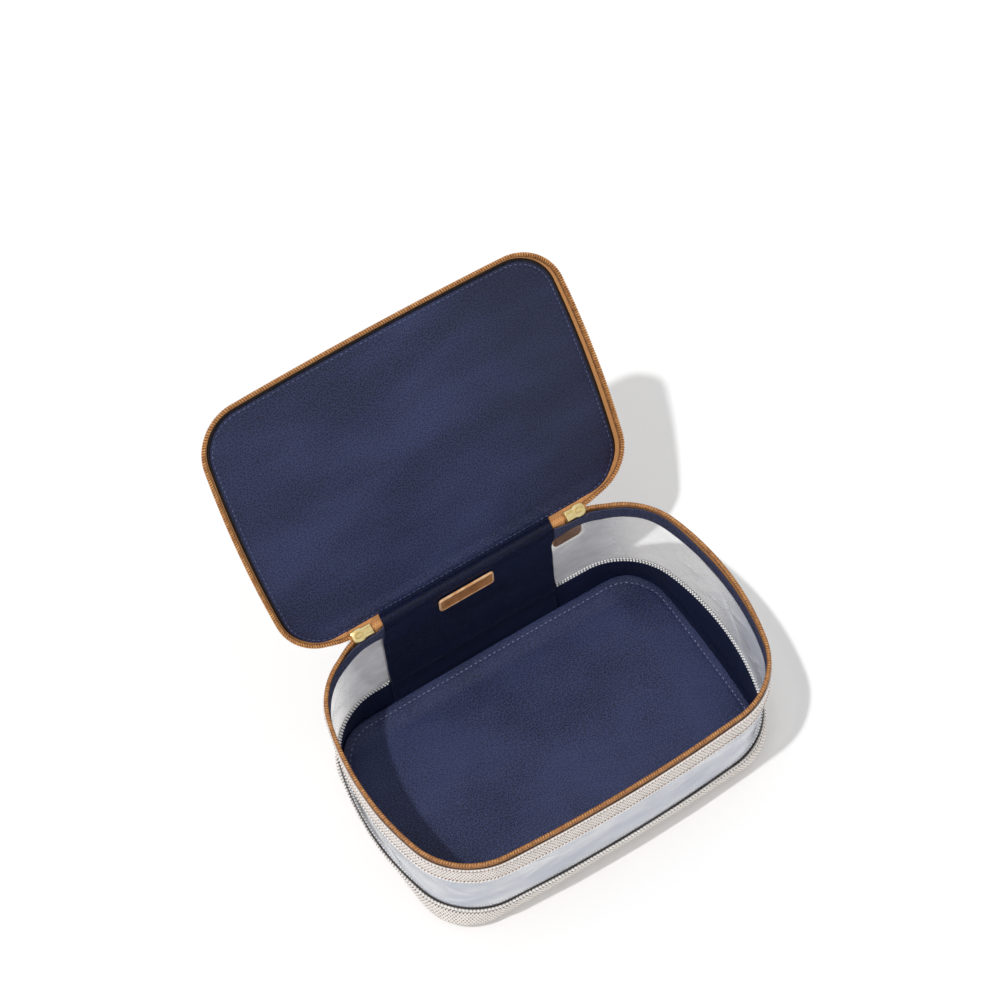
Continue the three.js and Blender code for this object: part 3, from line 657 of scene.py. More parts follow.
# Copies a shape along a route at even steps, each copy turned to follow it.
def repeatTree(name):
    tree = bpy.data.node_groups.new(name, "GeometryNodeTree")
    for label, way, kind in (("Geometry", "INPUT", "Geometry"), ("Pitch", "INPUT", "Float"),
                             ("Shape", "INPUT", "Object"), ("Finish", "INPUT", "Material"),
                             ("Geometry", "OUTPUT", "Geometry")):
        tree.interface.new_socket(label, in_out=way, socket_type="NodeSocket" + kind)
    add = tree.nodes.new
    given, out = add("NodeGroupInput"), add("NodeGroupOutput")
    curve, points = add("GeometryNodeMeshToCurve"), add("GeometryNodeCurveToPoints")
    points.mode = "LENGTH"
    align = add("FunctionNodeAlignEulerToVector")
    align.axis, align.pivot_axis = "X", "AUTO"
    info, place = add("GeometryNodeObjectInfo"), add("GeometryNodeInstanceOnPoints")
    whole, finish = add("GeometryNodeRealizeInstances"), add("GeometryNodeSetMaterial")
    for origin, leaving, target, entering in (
            (given, "Geometry", curve, 0), (curve, 0, points, 0), (given, "Pitch", points, "Length"),
            (given, "Shape", info, "Object"), (points, "Tangent", align, "Vector"),
            (points, "Points", place, "Points"), (info, "Geometry", place, "Instance"),
            (align, 0, place, "Rotation"), (place, 0, whole, 0), (whole, 0, finish, "Geometry"),
            (given, "Finish", finish, "Material"), (finish, 0, out, 0)):
        tree.links.new(origin.outputs[leaving], target.inputs[entering])
    return tree


def repeatAlong(name, route, shape, pitch, material, place=None):
    mesh = bpy.data.meshes.new(name)
    mesh.from_pydata((np.array(route) * mm).tolist(), [(k, k + 1) for k in range(len(route) - 1)], [])
    piece = newObject(name, mesh)
    modifier = piece.modifiers.new("repeat", "NODES")
    modifier.node_group = groups["repeat"]
    sockets = {s.name: s.identifier for s in groups["repeat"].interface.items_tree
               if s.in_out == "INPUT" and s.name != "Geometry"}
    for label, value in (("Pitch", pitch * mm), ("Shape", shape), ("Finish", material)):
        modifier[sockets[label]] = value
    bpy.context.view_layer.update()
    ready = piece.evaluated_get(bpy.context.evaluated_depsgraph_get())
    final = bpy.data.meshes.new_from_object(ready)
    piece.modifiers.clear()
    piece.data = final
    if place:
        flat = np.zeros(len(final.vertices) * 3)
        final.vertices.foreach_get("co", flat)
        moved = place(flat.reshape(-1, 3) / mm) * mm
        final.vertices.foreach_set("co", moved.ravel())
    final.shade_smooth()
    if not final.materials:
        final.materials.append(material)
    return piece


# Joins points that fall together, closes what is open if asked, and turns the faces outwards.
def sewMesh(mesh, reach, fill=False):
    work = bmesh.new()
    work.from_mesh(mesh)
    bmesh.ops.remove_doubles(work, verts=work.verts, dist=reach)
    if fill:
        bmesh.ops.holes_fill(work, edges=work.edges, sides=0)
    bmesh.ops.recalc_face_normals(work, faces=work.faces)
    work.to_mesh(mesh)
    work.free()


# Small shapes that the repeats copy. They are removed at the end.
helperShapes = []


def keepShape(name, points, faces):
    mesh = bpy.data.meshes.new(name)
    mesh.from_pydata((np.array(points) * mm).tolist(), [], faces)
    sewMesh(mesh, 1e-6)
    shape = newObject(name, mesh)
    shape.hide_render = True
    helperShapes.append(shape)
    return shape


def beadShape(name, length, radius, squash=1.0, rings=4, sides=6):
    points = []
    for k in range(rings + 1):
        turn = math.pi * (k / rings - 0.5)
        wide = math.cos(turn) ** 0.6 * radius
        for s in range(sides):
            around = 2 * math.pi * s / sides
            points.append((math.sin(turn) * length / 2, wide * math.cos(around),
                           wide * squash * math.sin(around)))
    return keepShape(name, points, ringFaces(rings + 1, sides))


# One loop of a zip coil: a bent wire that stands across the tape's edge.
def loopShape(name, width, height, wire, lean, around=12, sides=5):
    points = []
    for k in range(around):
        turn = 2 * math.pi * k / around
        outY, outZ = math.cos(turn), math.sin(turn)
        centre = Vector((lean * outY, outY * (width / 2 - wire), outZ * (height / 2 - wire)))
        outward = Vector((0, outY, outZ)).normalized()
        for s in range(sides):
            roll = 2 * math.pi * s / sides
            points.append(tuple(centre + outward * math.cos(roll) * wire
                                + Vector((1, 0, 0)) * math.sin(roll) * wire))
    return keepShape(name, points, ringFaces(around, sides, roundAll=True))


# A route round a wall at one height, as points for a repeat.
def wallRoute(wall, z, inset, gap=None):
    return atHeight(stations(outlineLoop(wall(z), inset), 500, gap)[0], z)


def finished(piece, body, slot, *replaced):
    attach(piece, body)
    if replaced:
        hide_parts(*replaced)
    return piece


groups["plainWeave"] = weaveGroup()
groups["wovenDots"] = dotGroup()
groups["repeat"] = repeatTree("repeatAlongRoute")
makeStudio()
print("studio ready")

canvas = canvasMaterial("dottedCanvas", 0.55)
canvasLow = canvasMaterial("dottedCanvasLow", 0.85)
shadedTones = ("shadedDark", "shadedLight")
# The lid's satin, with painted shade towards its right end.
nylon = nylonMaterial("navySatin", paintedShadeRight=0.62)
# Panel and lower lining: the same satin in darker tones, painted shade where they lie in shadow.
nylonShadedPanel = nylonMaterial("navySatinShadedPanel", (5.0, 40.0, 1.0), 0.8, 0.34, shadedTones, 0.16)
# The floor's satin is made brighter than the rest: painted light.
nylonLitFloor = nylonMaterial("navySatinLitFloor", (14.0, 14.0, 1.0), 1.25)
nylonShadedLow = nylonMaterial("navySatinShadedLow", (5.0, 40.0, 1.0), 1.3, 0.4, shadedTones, 0.16)
ribbon = ribbedMaterial("navyRibbon", ribbonLook)
tape = ribbedMaterial("caramelTape", tapeLook)
coil = threadMaterial("brownCoil", (0.44, 0.18, 0.05), (0.74, 0.38, 0.13), 260.0, 2.0, 0.3, 0.38)
brass = brassMaterial("lightBrass")
leather = leatherMaterial("tanLeather")
leatherEdge = leatherMaterial("tanLeatherEdge", ("light", "edge"))
# The tab's leather is a darker copy of the tan leather: painted shade, as the tab hangs in the lid's shade.
shadedTabLeather = leatherMaterial("shadedTabLeather", ("deep", "dark"))
film = filmMaterial("clearFilm")
threadColours = {
    "navyThread": ((0.065, 0.085, 0.20), (0.15, 0.18, 0.34)),
    "brownThread": ((0.16, 0.075, 0.035), (0.27, 0.13, 0.06)),
    "darkThread": ((0.02, 0.018, 0.018), (0.07, 0.06, 0.055)),
    "greyThread": ((0.20, 0.19, 0.20), (0.38, 0.36, 0.37)),
    "whiteThread": ((0.90, 0.89, 0.88), (0.97, 0.97, 0.97)),
    "floorThread": ((0.20, 0.23, 0.42), (0.34, 0.38, 0.60)),
    "creamThread": ((0.86, 0.82, 0.79), (0.96, 0.94, 0.92)),
    "coilCord": ((0.20, 0.075, 0.02), (0.36, 0.15, 0.042)),
    # The next two are strips that stand for shade along seams: painted shade.
    "darkShadeStrip": ((0.005, 0.004, 0.005), (0.018, 0.010, 0.010)),
    "brownShadeStrip": ((0.05, 0.022, 0.01), (0.11, 0.05, 0.02)),
}
threads = {name: threadMaterial(name, *pair) for name, pair in threadColours.items()}
fibreBoard = boardMaterial("fibreBoard")
print("materials ready")

leanPlan = {"below": -2.8, "atLid": 3.0, "reach": 14.0}


# The hinge cloth hangs a little askew: how far it stands to one side at a height.
def askew(z):
    h = z - hingeZ
    return leanPlan["below"] * smooth(-(h + 3) / 15) + leanPlan["atLid"] * smooth(h / 8)


# What is sewn to the panel's two edges stands askew with it.
def besidePanel(points):
    moved = points.copy()
    x, y = points[:, 0], points[:, 1]
    apart = np.where(x > 0, x - panelRight, panelLeft - x)
    moved[:, 0] += askew(points[:, 2]) * smooth(1 - apart / leanPlan["reach"]) * (y > 60)
    return moved


bandPlan = {"bottom": 77.0, "top": 95.6, "thickness": 1.0, "wave": 0.35, "backLift": 12.0}
bandWave = ripples(11, 9, 120, 35, bandPlan["wave"])


# Behind, where the film runs higher, the band is narrower.
def bandShape(points):
    moved = points.copy()
    low = np.clip((bandPlan["top"] - points[:, 2]) / (bandPlan["top"] - bandPlan["bottom"]), 0, 1)
    moved[:, 2] += bandPlan["backLift"] * smooth((points[:, 1] - 15) / 45) * low
    return besidePanel(moved)


besideGap = (panelLeft - 0.3, panelRight + 0.3)
upperBand = sweep("upperCanvasBand",
                  bandSection(bandPlan["bottom"], bandPlan["top"], 0.0, bandPlan["thickness"], 8),
                  canvas, wallOutline, gap=besideGap, wave=bandWave, place=bandShape)
finished(upperBand, "base", "canvas", "upper_band")

lowPlan = {"foot": 11.0, "hem": 3.0, "turn": 10, "wave": 0.4, "straight": 13, "seam": 28.7, "fold": 29.0}
lowRipples = ripples(12, 9, 130, 40, lowPlan["wave"])


def footSection(radius, inset):
    turns = [math.pi / 2 * k / lowPlan["turn"] for k in range(lowPlan["turn"] + 1)]
    return [(lowPlan["foot"] - radius * math.sin(t), inset + radius * (1 - math.cos(t))) for t in turns]


def lowWave(run, z):
    return lowRipples(run, z) * np.clip((z - 2) / 12, 0, 1)


hemInset = lowPlan["foot"] + lowPlan["hem"]
outerLow = [(z, 0.0) for z in np.linspace(lowPlan["seam"], lowPlan["straight"], 7)]
outerLow += footSection(11.0, 0.0) + [(0.0, hemInset)]
innerLow = [(1.0, hemInset)] + footSection(10.0, 1.0)[::-1]
innerLow += [(z, 1.0) for z in np.linspace(lowPlan["straight"], lowPlan["seam"], 7)]
lowerBand = sweep("lowerCanvasBand", outerLow + innerLow + [(lowPlan["fold"], 0.7), (lowPlan["fold"], 0.3)],
                  canvasLow, wallOutline, wave=lowWave)
finished(lowerBand, "base", "canvas", "lower_band")
print("canvas bands ready")


# The line inside an outline that a pad's rows close in on, and how far each edge point is from it.
def padSpine(found, outline, middle):
    limit = outline["halfLength"] * middle
    spine = np.stack([np.clip(found[:, 0], -limit, limit), np.zeros(len(found))], 1)
    return spine, np.linalg.norm(found[:, :2] - spine, axis=1)[:, None]


# Flat pieces inside an outline: an underside and a top with a rounded edge. rise shapes the top.
def flatPad(name, outline, low, high, edge, material, rise=None, rings=26, place=None, middle=0.55, tuck=0.0):
    found = stations(outlineLoop(outline, 0), 361)[0][:-1]
    count = len(found)
    spine, reach = padSpine(found, outline, middle)
    turns = [math.pi / 2 * k / 4 for k in range(5)]
    levels = [(np.full((count, 1), edge * (1 - math.cos(t))), high - edge + edge * math.sin(t)) for t in turns]
    shares = np.linspace(0, 1, rings + 1)[1:] ** 1.25
    top = [(edge + (reach - edge) * s * 0.999, high) for s in shares]
    under = [(np.full((count, 1), tuck), low), (reach * 0.35, low), (reach * 0.999, low)][::-1]
    rows, flats = [], []
    for step, z in under + levels + top:
        inner = found[:, :2] + (spine - found[:, :2]) * np.clip(step / reach, 0, 1)
        heights = np.full(count, float(z))
        if rise and z > low + 1e-6:
            heights += rise(inner[:, 0], inner[:, 1], step[:, 0])
        rows.append(atHeight(inner, heights))
        flats.append(inner)
    flat = np.vstack(flats)
    faces = ringFaces(len(rows), count)
    uvs = [[tuple(flat[at]) for at in face] for face in faces]
    points = np.vstack(rows)
    pad = makePiece(name, place(points) if place else points, faces, material, uvs, closed=False)
    sewMesh(pad.data, 2e-4, fill=True)
    pad.data.shade_smooth()
    return pad


bottom = flatPad("bottomCanvas", inward(footOutline, hemInset + 0.3), 0.0, 1.0, 0.3, canvasLow, rings=4)
finished(bottom, "base", "canvas", "bottom_panel")

# Clear film, with soft swells on the long side and creases at the two ends.
filmPlan = {
    "bottom": 26.0, "top": 87.0, "rows": 46, "columns": 720, "inset": 1.5, "thickness": 0.3, "slack": 6.0,
    "swell": 1.3, "crease": 1.5, "creases": 46, "sag": -0.7, "heldLow": 29.5, "heldHigh": 76.5,
}
swell = ripples(21, 8, 150, 45, filmPlan["swell"])
chance = np.random.default_rng(5)
filmRun = runOf(outlineLoop(wallOutline(60), 0))[-1]
filmGap = (panelLeft + 3.5, panelRight - 6.0)
creaseList = []
for k in range(filmPlan["creases"]):
    atEnd = chance.uniform() < 0.8
    centre = chance.choice([0.245, 0.755]) + chance.normal(0, 0.055) if atEnd else chance.uniform(0.1, 0.9)
    creaseList.append((centre * filmRun, chance.uniform(36, 72), chance.uniform(-0.9, 0.9),
                       chance.uniform(8, 22), chance.uniform(0.8, 2.2), chance.uniform(-1, 1)))


def creaseHeight(run, z):
    total = np.zeros_like(run)
    for centre, height, slope, length, width, depth in creaseList:
        a = (run - centre) * math.cos(slope) + (z - height) * math.sin(slope)
        b = -(run - centre) * math.sin(slope) + (z - height) * math.cos(slope)
        total += depth * np.exp(-np.abs(b) / width) * np.exp(-(a / length) ** 2)
    return total


def filmHold(z):
    share = (z - filmPlan["heldLow"]) / (filmPlan["heldHigh"] - filmPlan["heldLow"])
    return math.sin(math.pi * np.clip(share, 0, 1)) ** 0.7


def filmWave(run, z):
    return (swell(run, z * 3) + creaseHeight(run, z) * filmPlan["crease"] + filmPlan["sag"]) * filmHold(z)


# Beside the sliders the film goes up with the ribbon.
def filmShape(points):
    moved = points.copy()
    x, y, z = points.T
    beside = np.exp(-((np.abs(x) - 70) / 16) ** 2) * (y > 60)
    moved[:, 2] += filmPlan["slack"] * beside * np.clip((z - 72) / 15, 0, 1)
    return moved


filmDown = np.linspace(filmPlan["top"], filmPlan["bottom"], filmPlan["rows"])
filmUp = np.linspace(filmPlan["bottom"], filmPlan["top"], filmPlan["rows"])
filmBehind = filmPlan["inset"] + filmPlan["thickness"]
filmSection = [(z, filmPlan["inset"]) for z in filmDown] + [(z, filmBehind) for z in filmUp]
filmWall = sweep("clearFilmWall", filmSection, film, wallOutline, columns=filmPlan["columns"],
                 gap=filmGap, wave=filmWave, place=filmShape)
mark = filmWall.data.attributes.new("crease", "FLOAT", "POINT")
filmRuns = np.linspace(*stations(outlineLoop(wallOutline(60), 0), 2, filmGap)[1], filmPlan["columns"] + 1)
creased = [np.clip(np.abs(creaseHeight(filmRuns, z)) * filmHold(z), 0, 1) for z in (*filmDown, *filmUp)]
mark.data.foreach_set("value", np.array(creased, np.float32).ravel())
finished(filmWall, "base", "film", "clear_window")
print("film ready")

innerWave = ripples(31, 8, 90, 30, 0.25)
ribbonPlan = {
    "low": 84.5, "high": 97.2, "inset": 2.3, "thickness": 0.8, "frontDrop": 3.4, "sliderRise": 2.7,
    "leftLift": 7.0, "rightLift": 8.0, "backLift": 2.4, "panelRise": 3.2,
}


# The ribbon's top follows the zip: lower at the ends and front, higher beside the sliders.
def ribbonShape(points):
    x, y, z = points[:, 0], points[:, 1], points[:, 2]
    upper = np.clip((z - ribbonPlan["low"]) / (ribbonPlan["high"] - ribbonPlan["low"]), 0, 1)
    behind = smooth((y - 50) / 20)
    moved = points.copy()
    moved[:, 2] -= ribbonPlan["frontDrop"] * smooth((70 - y) / 50) * upper
    moved[:, 2] += ribbonPlan["sliderRise"] * smooth((100 - np.abs(x)) / 18) * behind * upper
    lift = (ribbonPlan["leftLift"] * np.exp(-((x + 76) / 20) ** 2)
            + ribbonPlan["rightLift"] * np.exp(-((x - 72) / 19) ** 2))
    lift = np.maximum(lift, ribbonPlan["backLift"])
    moved[:, 2] += lift * behind * (1 - upper)
    apart = np.where(x > 0, (x - panelRight) / 10.0, (panelLeft - x) / 5.0)
    moved[:, 2] += ribbonPlan["panelRise"] * smooth(1 - apart) * behind * upper
    return besidePanel(moved)


ribbonBand = sweep("rimRibbon", bandSection(ribbonPlan["low"], ribbonPlan["high"], ribbonPlan["inset"],
                                            ribbonPlan["thickness"], 9),
                   ribbon, wallOutline, gap=besideGap, wave=innerWave, place=ribbonShape)
finished(ribbonBand, "base", "lining", "upper_band_lining")

liningPlan = {"high": 29.7, "outer": 2.3, "inner": 3.1, "fold": 30.0}
linedOut = [(z, liningPlan["outer"]) for z in np.linspace(liningPlan["high"], lowPlan["straight"], 8)]
linedOut += footSection(8.7, liningPlan["outer"])[:8]
linedIn = footSection(7.9, liningPlan["inner"])[:8][::-1]
linedIn += [(z, liningPlan["inner"]) for z in np.linspace(lowPlan["straight"], liningPlan["high"], 8)]
lowLining = sweep("lowerLining", linedOut + linedIn + [(liningPlan["fold"], 2.8), (liningPlan["fold"], 2.6)],
                  nylonShadedLow, wallOutline,
                  wave=lambda run, z: (innerWave(run, z) - 0.1) * np.clip((z - 4) / 8, 0, 1))
finished(lowLining, "base", "lining", "lower_band_lining")

# Quilted floor, crowned between its stitch line and its edge seam.
floorPlan = {"inset": 5.4, "low": 3.6, "high": 6.6, "edge": 0.7, "stitch": 5.2, "crown": 1.1, "tuck": 3.3,
             "backRise": 3.2, "pitch": 3.6}
floorFolds = ripples(42, 7, 120, 40, 0.45)
floorPuckers = ripples(41, 9, 16, 7, 0.28)


def floorRise(x, y, step):
    near = np.exp(-((step - floorPlan["stitch"]) / 1.5) ** 2)
    crown = floorPlan["crown"] * np.clip((step - floorPlan["stitch"]) / 30, 0, 1)
    folds = floorFolds(x + 0.35 * y, y * 8) * np.clip((step - 9) / 15, 0, 1)
    crown = crown + floorPlan["backRise"] * smooth((y - 62) / 15)
    return crown + folds - near * 0.3 + floorPuckers(x - y, y * 9) * np.exp(-((step - 9) / 5) ** 2)


floorShape = inward(wallOutline(5.9), floorPlan["inset"])
floorShape["backDepth"] += 1.0
floorPad = flatPad("floorCushion", floorShape, floorPlan["low"], floorPlan["high"], floorPlan["edge"],
                   nylonLitFloor, rise=floorRise, rings=40, tuck=floorPlan["tuck"])
finished(floorPad, "base", "lining", "floor_pad")
print("floor ready")

zipPlan = {
    "pitch": 1.7, "loopWidth": 2.7, "loopHeight": 2.6, "wire": 0.5, "lean": 0.28, "inset": 1.8,
    "left": 87.0, "right": 84.0, "reach": 16, "out": 2.1, "up": 0.3, "tapeInset": 1.3, "tapeThickness": 0.7,
}


# The zip's line leans out to the hinge line beside the panel, where the sliders are.
def towardsSlider(points, upright):
    moved = points.copy()
    x, y = points[:, 0], points[:, 1]
    side = np.where(x > 0, zipPlan["right"], zipPlan["left"])
    share = smooth(1 - (np.abs(x) - side) / zipPlan["reach"]) * (y > 60)
    moved[:, 1] += share * zipPlan["out"]
    moved[:, 2] += share * upright * zipPlan["up"]
    return moved


def zipTape(name, low, high, wall, place):
    section = bandSection(low, high, zipPlan["tapeInset"], zipPlan["tapeThickness"], 8)
    return sweep(name, section, tape, wall, gap=zipGap, place=place)


zipGap = (-86.6, 83.6)
baseTape = zipTape("baseZipTape", 88.0, 99.9, wallOutline,
                   lambda p: np.where((p[:, 2:] > 96), towardsSlider(p, 1.0), p))
finished(baseTape, "base", "zip_tape", "base_zip_tape")
toothLoop = loopShape("toothLoop", zipPlan["loopWidth"], zipPlan["loopHeight"], zipPlan["wire"],
                      zipPlan["lean"])
baseRoute = towardsSlider(wallRoute(wallOutline, 100.35, zipPlan["inset"], zipGap), 1.0)
baseCoil = repeatAlong("baseZipCoil", baseRoute, toothLoop, zipPlan["pitch"], coil)
finished(baseCoil, "base", "zip_coil", "base_zip_coil")
coilCore = [(100.6, 0.45), (99.7, 0.45), (99.7, 3.15), (100.6, 3.15),
            (101.0, 2.8), (101.35, 2.2), (101.35, 1.4), (101.0, 0.8)]
baseCore = sweep("baseZipCore", coilCore, threads["coilCord"], wallOutline, gap=zipGap,
                 place=lambda p: towardsSlider(p, 1.0))
finished(baseCore, "base", "zip_coil")
print("base zip ready")

# The lid's pieces are made shut and then turned open.
lidTeeth = lidPlan["teeth"]
lidLiningZ = lidTeeth + lidPlan["depth"]
coreMirror = 204.9
lidTape = zipTape("lidZipTape", 104.1, lidLiningZ + 0.6, lidWall,
                  lambda p: openLid(np.where((p[:, 2:] < 108), towardsSlider(p, -1.0), p)))
finished(lidTape, "lid", "zip_tape", "lid_zip_tape")
lidRoute = towardsSlider(wallRoute(lidWall, lidTeeth + 1.25, zipPlan["inset"], zipGap), -1.0)
lidCoil = repeatAlong("lidZipCoil", lidRoute, toothLoop, zipPlan["pitch"], coil, place=turnLid)
finished(lidCoil, "lid", "zip_coil", "lid_zip_coil")
lidCore = sweep("lidZipCore", [(coreMirror - z, inset) for z, inset in coilCore], threads["coilCord"], lidWall,
                gap=zipGap, place=lambda p: turnLid(towardsSlider(p, -1.0)))
finished(lidCore, "lid", "zip_coil")
# A near-black strip between the lid's tape and its lining: painted shade in the gap.
lidShadeSection = [(lidLiningZ + rise, inset) for rise, inset in ((-0.7, 2.02), (0.5, 2.02), (0.5, 4.6), (0.1, 4.6))]
lidShadeStrip = sweep("lidSeamShade", lidShadeSection, threads["darkShadeStrip"], lidWall, gap=zipGap, place=openLid)
finished(lidShadeStrip, "lid", "zip_tape")

padPlan = {"inset": 3.5, "hingeInset": 1.1, "thickness": 1.6, "edge": 0.8, "stitch": 2.0, "swell": 0.6,
           "frontRise": 1.6, "hingeRise": 2.0, "pitch": 3.4}
lidPuckers = ripples(51, 10, 12, 4, 0.5)
lidSwell = ripples(52, 8, 170, 50, padPlan["swell"])


def lidRise(x, y, step):
    near = np.exp(-((step - padPlan["stitch"]) / 0.9) ** 2)
    soft = lidSwell(x * 0.6 + y, x * 6) * np.clip((step - 6) / 25, 0, 1)
    pucker = lidPuckers(x - y * 0.9, x * 5) * np.exp(-((step - 5.5) / 4) ** 2)
    pucker = pucker * (1 + 1.3 * smooth((y - 60) / 20))
    front = padPlan["frontRise"] * np.clip((lidOutline["backDepth"] - y) / lidPlan["length"], 0, 1)
    return -near * 0.35 + soft + pucker + front + padPlan["hingeRise"] * smooth((y - 76) / 11)


def openPad(points):
    flipped = points.copy()
    flipped[:, 2] = lidLiningZ + 0.85 - points[:, 2]
    return openLid(flipped)


lidPadOutline = {**inward(lidRoot, padPlan["inset"]), "backDepth": lidRoot["backDepth"] - padPlan["hingeInset"]}
lidLining = flatPad("lidLiningPad", lidPadOutline, 0.0, padPlan["thickness"], padPlan["edge"], nylon,
                    rise=lidRise, rings=44, place=openPad, middle=0.5)
finished(lidLining, "lid", "lining", "lid_lining")

coverPlan = {"above": 4.1, "below": 2.0, "edge": 1.6, "turned": 6.0, "thickness": 1.0, "inset": 5.6}
coverTop = lidLiningZ + coverPlan["above"]
coverLow, coverUnder = lidLiningZ - coverPlan["below"], coverTop - coverPlan["thickness"]
coverFolds = ripples(62, 8, 160, 50, 0.35)
coverOuter = [(coverTop - coverPlan["edge"] * (1 - math.sin(t)), coverPlan["edge"] * (1 - math.cos(t)))
              for t in (math.pi / 2 * k / 6 for k in range(7))]
coverInner = [(coverUnder, coverPlan["edge"]), (coverTop - coverPlan["edge"], 1.0), (coverLow, 1.0)]
coverRing = sweep("lidCoverEdge", [(coverLow, 0.0), *coverOuter, (coverTop, coverPlan["turned"]),
                                   (coverUnder, coverPlan["turned"]), *coverInner],
                  canvas, lidWall, place=openLid)
finished(coverRing, "lid", "canvas", "lid_cover")


def coverRise(x, y, step):
    return coverFolds(x + 0.5 * y, y * 6) * np.clip((step - 4) / 20, 0, 1)


def openCover(points):
    lifted = points.copy()
    lifted[:, 2] = coverTop - 0.95 + points[:, 2]
    return openLid(lifted)


coverShape = {**inward(lidRoot, coverPlan["inset"]), "backDepth": lidRoot["backDepth"] - coverPlan["inset"]}
coverTopPiece = flatPad("lidCoverTop", coverShape, 0.0, 1.0, 0.3, canvas, rise=coverRise, rings=24,
                        place=openCover, middle=0.5)
finished(coverTopPiece, "lid", "canvas", "lid_cover")
print("lid ready")


# Cloth that crosses the hinge, made as it lies with the lid open: straight below the hinge line and bent over
# it above.
def hingeCloth(name, xs, below, above, inside, thickness, material, bulge=None, profile=None):
    turnFrom, turnTo = below[1], above[0]
    heights = np.concatenate([np.linspace(*below, 64)[:-1], np.linspace(turnFrom, turnTo, 22),
                              np.linspace(*above, 16)[1:]])
    share = smooth((heights - turnFrom) / (turnTo - turnFrom))
    layers = []
    for offset in (inside, inside - thickness):
        rows = []
        for h, s in zip(heights, share):
            y = np.full(len(xs), hingeY + offset)
            if bulge and h < turnFrom:
                y += bulge(xs, hingeZ + h)
            if profile:
                y += profile(xs, h)
            lean = askew(hingeZ + (h if bulge else max(h, 0.0)))
            rows.append(turnLid(np.stack([xs + lean, y, np.full(len(xs), hingeZ + h)], 1), s))
        layers.append(np.array(rows))
    grid = np.concatenate([layers[0], layers[1][::-1]])
    levels, count = grid.shape[:2]
    lengths = np.concatenate([heights, heights[::-1]])
    faces = ringFaces(levels, count, roundRow=False, roundAll=True)
    uvs = [[(xs[i], lengths[j]), (xs[i + 1], lengths[j]), (xs[i + 1], lengths[k]), (xs[i], lengths[k])]
           for j, k in ((j, (j + 1) % levels) for j in range(levels)) for i in range(count - 1)]
    for i, order in ((0, 1), (count - 1, -1)):
        for j in range(levels // 2 - 1):
            quad = [row * count + i for row in (j, j + 1, levels - 2 - j, levels - 1 - j)]
            faces.append(quad[::order])
            uvs.append([(xs[i], 0.0)] * 4)
    return makePiece(name, grid.reshape(-1, 3), faces, material, uvs)


def restPoint(offset, height, share):
    return tuple(turnLid(np.array([[0.0, hingeY + offset, hingeZ + height]]), share)[0] * mm)


def blended(piece, offset, low, high, slot, *replaced):
    restPoint(offset, low, 0)
    restPoint(offset, high, 1)
    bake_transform(piece)
    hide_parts(*replaced)


# How far the wall stands in from the hinge line at a height, so that the cloth follows it down.
def wallStep(z, inset):
    return wallOutline(z)["backDepth"] - inset - hingeY


panelPlan = {"fold": 1.1, "clear": 1.3, "ridge": 2.2, "ridgeZ": 37.0, "bottom": 8.6, "footTurn": 7.9}
panelFolds = ripples(71, 8, 60, 18, panelPlan["fold"])


def panelBulge(offset, inset, folded):
    def move(xs, z):
        base = wallStep(z, inset) - offset
        curve = -rimOutline["backBow"] * (xs / 70) ** 2
        hold = math.sin(math.pi * np.clip((z - 31) / 66, 0, 1)) ** 0.8
        turn = panelPlan["footTurn"]
        foot = turn * (1 - math.sqrt(1 - min(1.0, max(0.0, 11 - z) / turn) ** 2))
        ridge = panelPlan["ridge"] * np.exp(-((z - panelPlan["ridgeZ"] - 1.5 * np.sin(xs / 23)) / 5.0) ** 2)
        ahead = panelPlan["clear"] * smooth((40 - z) / 8) + foot + ridge
        return base + curve - ((panelFolds(xs, z * 9) * 0.5 + 0.7) * hold + ahead) * folded
    return move


panelXs = np.linspace(panelLeft, panelRight, 90)
panelLining = hingeCloth("hingePanelLining", panelXs, (panelPlan["bottom"] - hingeZ, -3.5), (5.0, 8.5),
                         -2.8, 0.8, nylonShadedPanel, panelBulge(-2.8, 2.3, 1.0))
blended(panelLining, -2.8, -3.5, 5.0, "lining", "back_panel_lining", "lid_hinge_lining")
panelCanvas = hingeCloth("hingePanelCanvas", panelXs, (29.3 - hingeZ, -2.6), (2.6, 7.0), -0.5, 1.0, canvas,
                         panelBulge(-0.5, 0.0, 0.0))
blended(panelCanvas, -1.0, -2.6, 2.6, "canvas", "back_panel", "lid_hinge_panel")

# The tape beside the panel: inside the closed chain, through the slider, and inside the lid's hem.
tapePlan = {"deep": -2.2, "atChain": -1.45, "inSlider": -0.1, "thickness": 0.5, "low": -8.0, "high": 9.2}
for side, low, high, sliderX in (("left", -88.5, panelLeft + 2, -80.0), ("right", panelRight - 2, 85.5, 77.0)):
    xs = np.linspace(low, high, 34)

    def tapeProfile(xs, h, sliderX=sliderX):
        inSlider = smooth((9.0 - np.abs(xs - sliderX)) / 1.6)
        centre = tapePlan["atChain"] * (1 - inSlider) + tapePlan["inSlider"] * inSlider
        away = smooth(abs(h) / 4) * (1 - inSlider) + smooth((abs(h) - 4.4) / 2) * inSlider
        return centre * (1 - away) + tapePlan["deep"] * away

    turnTape = hingeCloth(side + "HingeTape", xs, (tapePlan["low"], -2.2), (2.2, tapePlan["high"]), 0.0,
                          tapePlan["thickness"], tape, profile=tapeProfile)
    blended(turnTape, -0.6, -2.2, 2.2, "zip_tape", side + "_tape_end")
print("hinge ready")


def roundedLoop(width, height, radius, steps=8):
    loop = []
    for cx, cy, start in ((1, 1, 0), (-1, 1, 90), (-1, -1, 180), (1, -1, 270)):
        for k in range(steps + 1):
            turn = math.radians(start + 90 * k / steps)
            loop.append((cx * (width / 2 - radius) + radius * math.cos(turn),
                         cy * (height / 2 - radius) + radius * math.sin(turn)))
    return loop


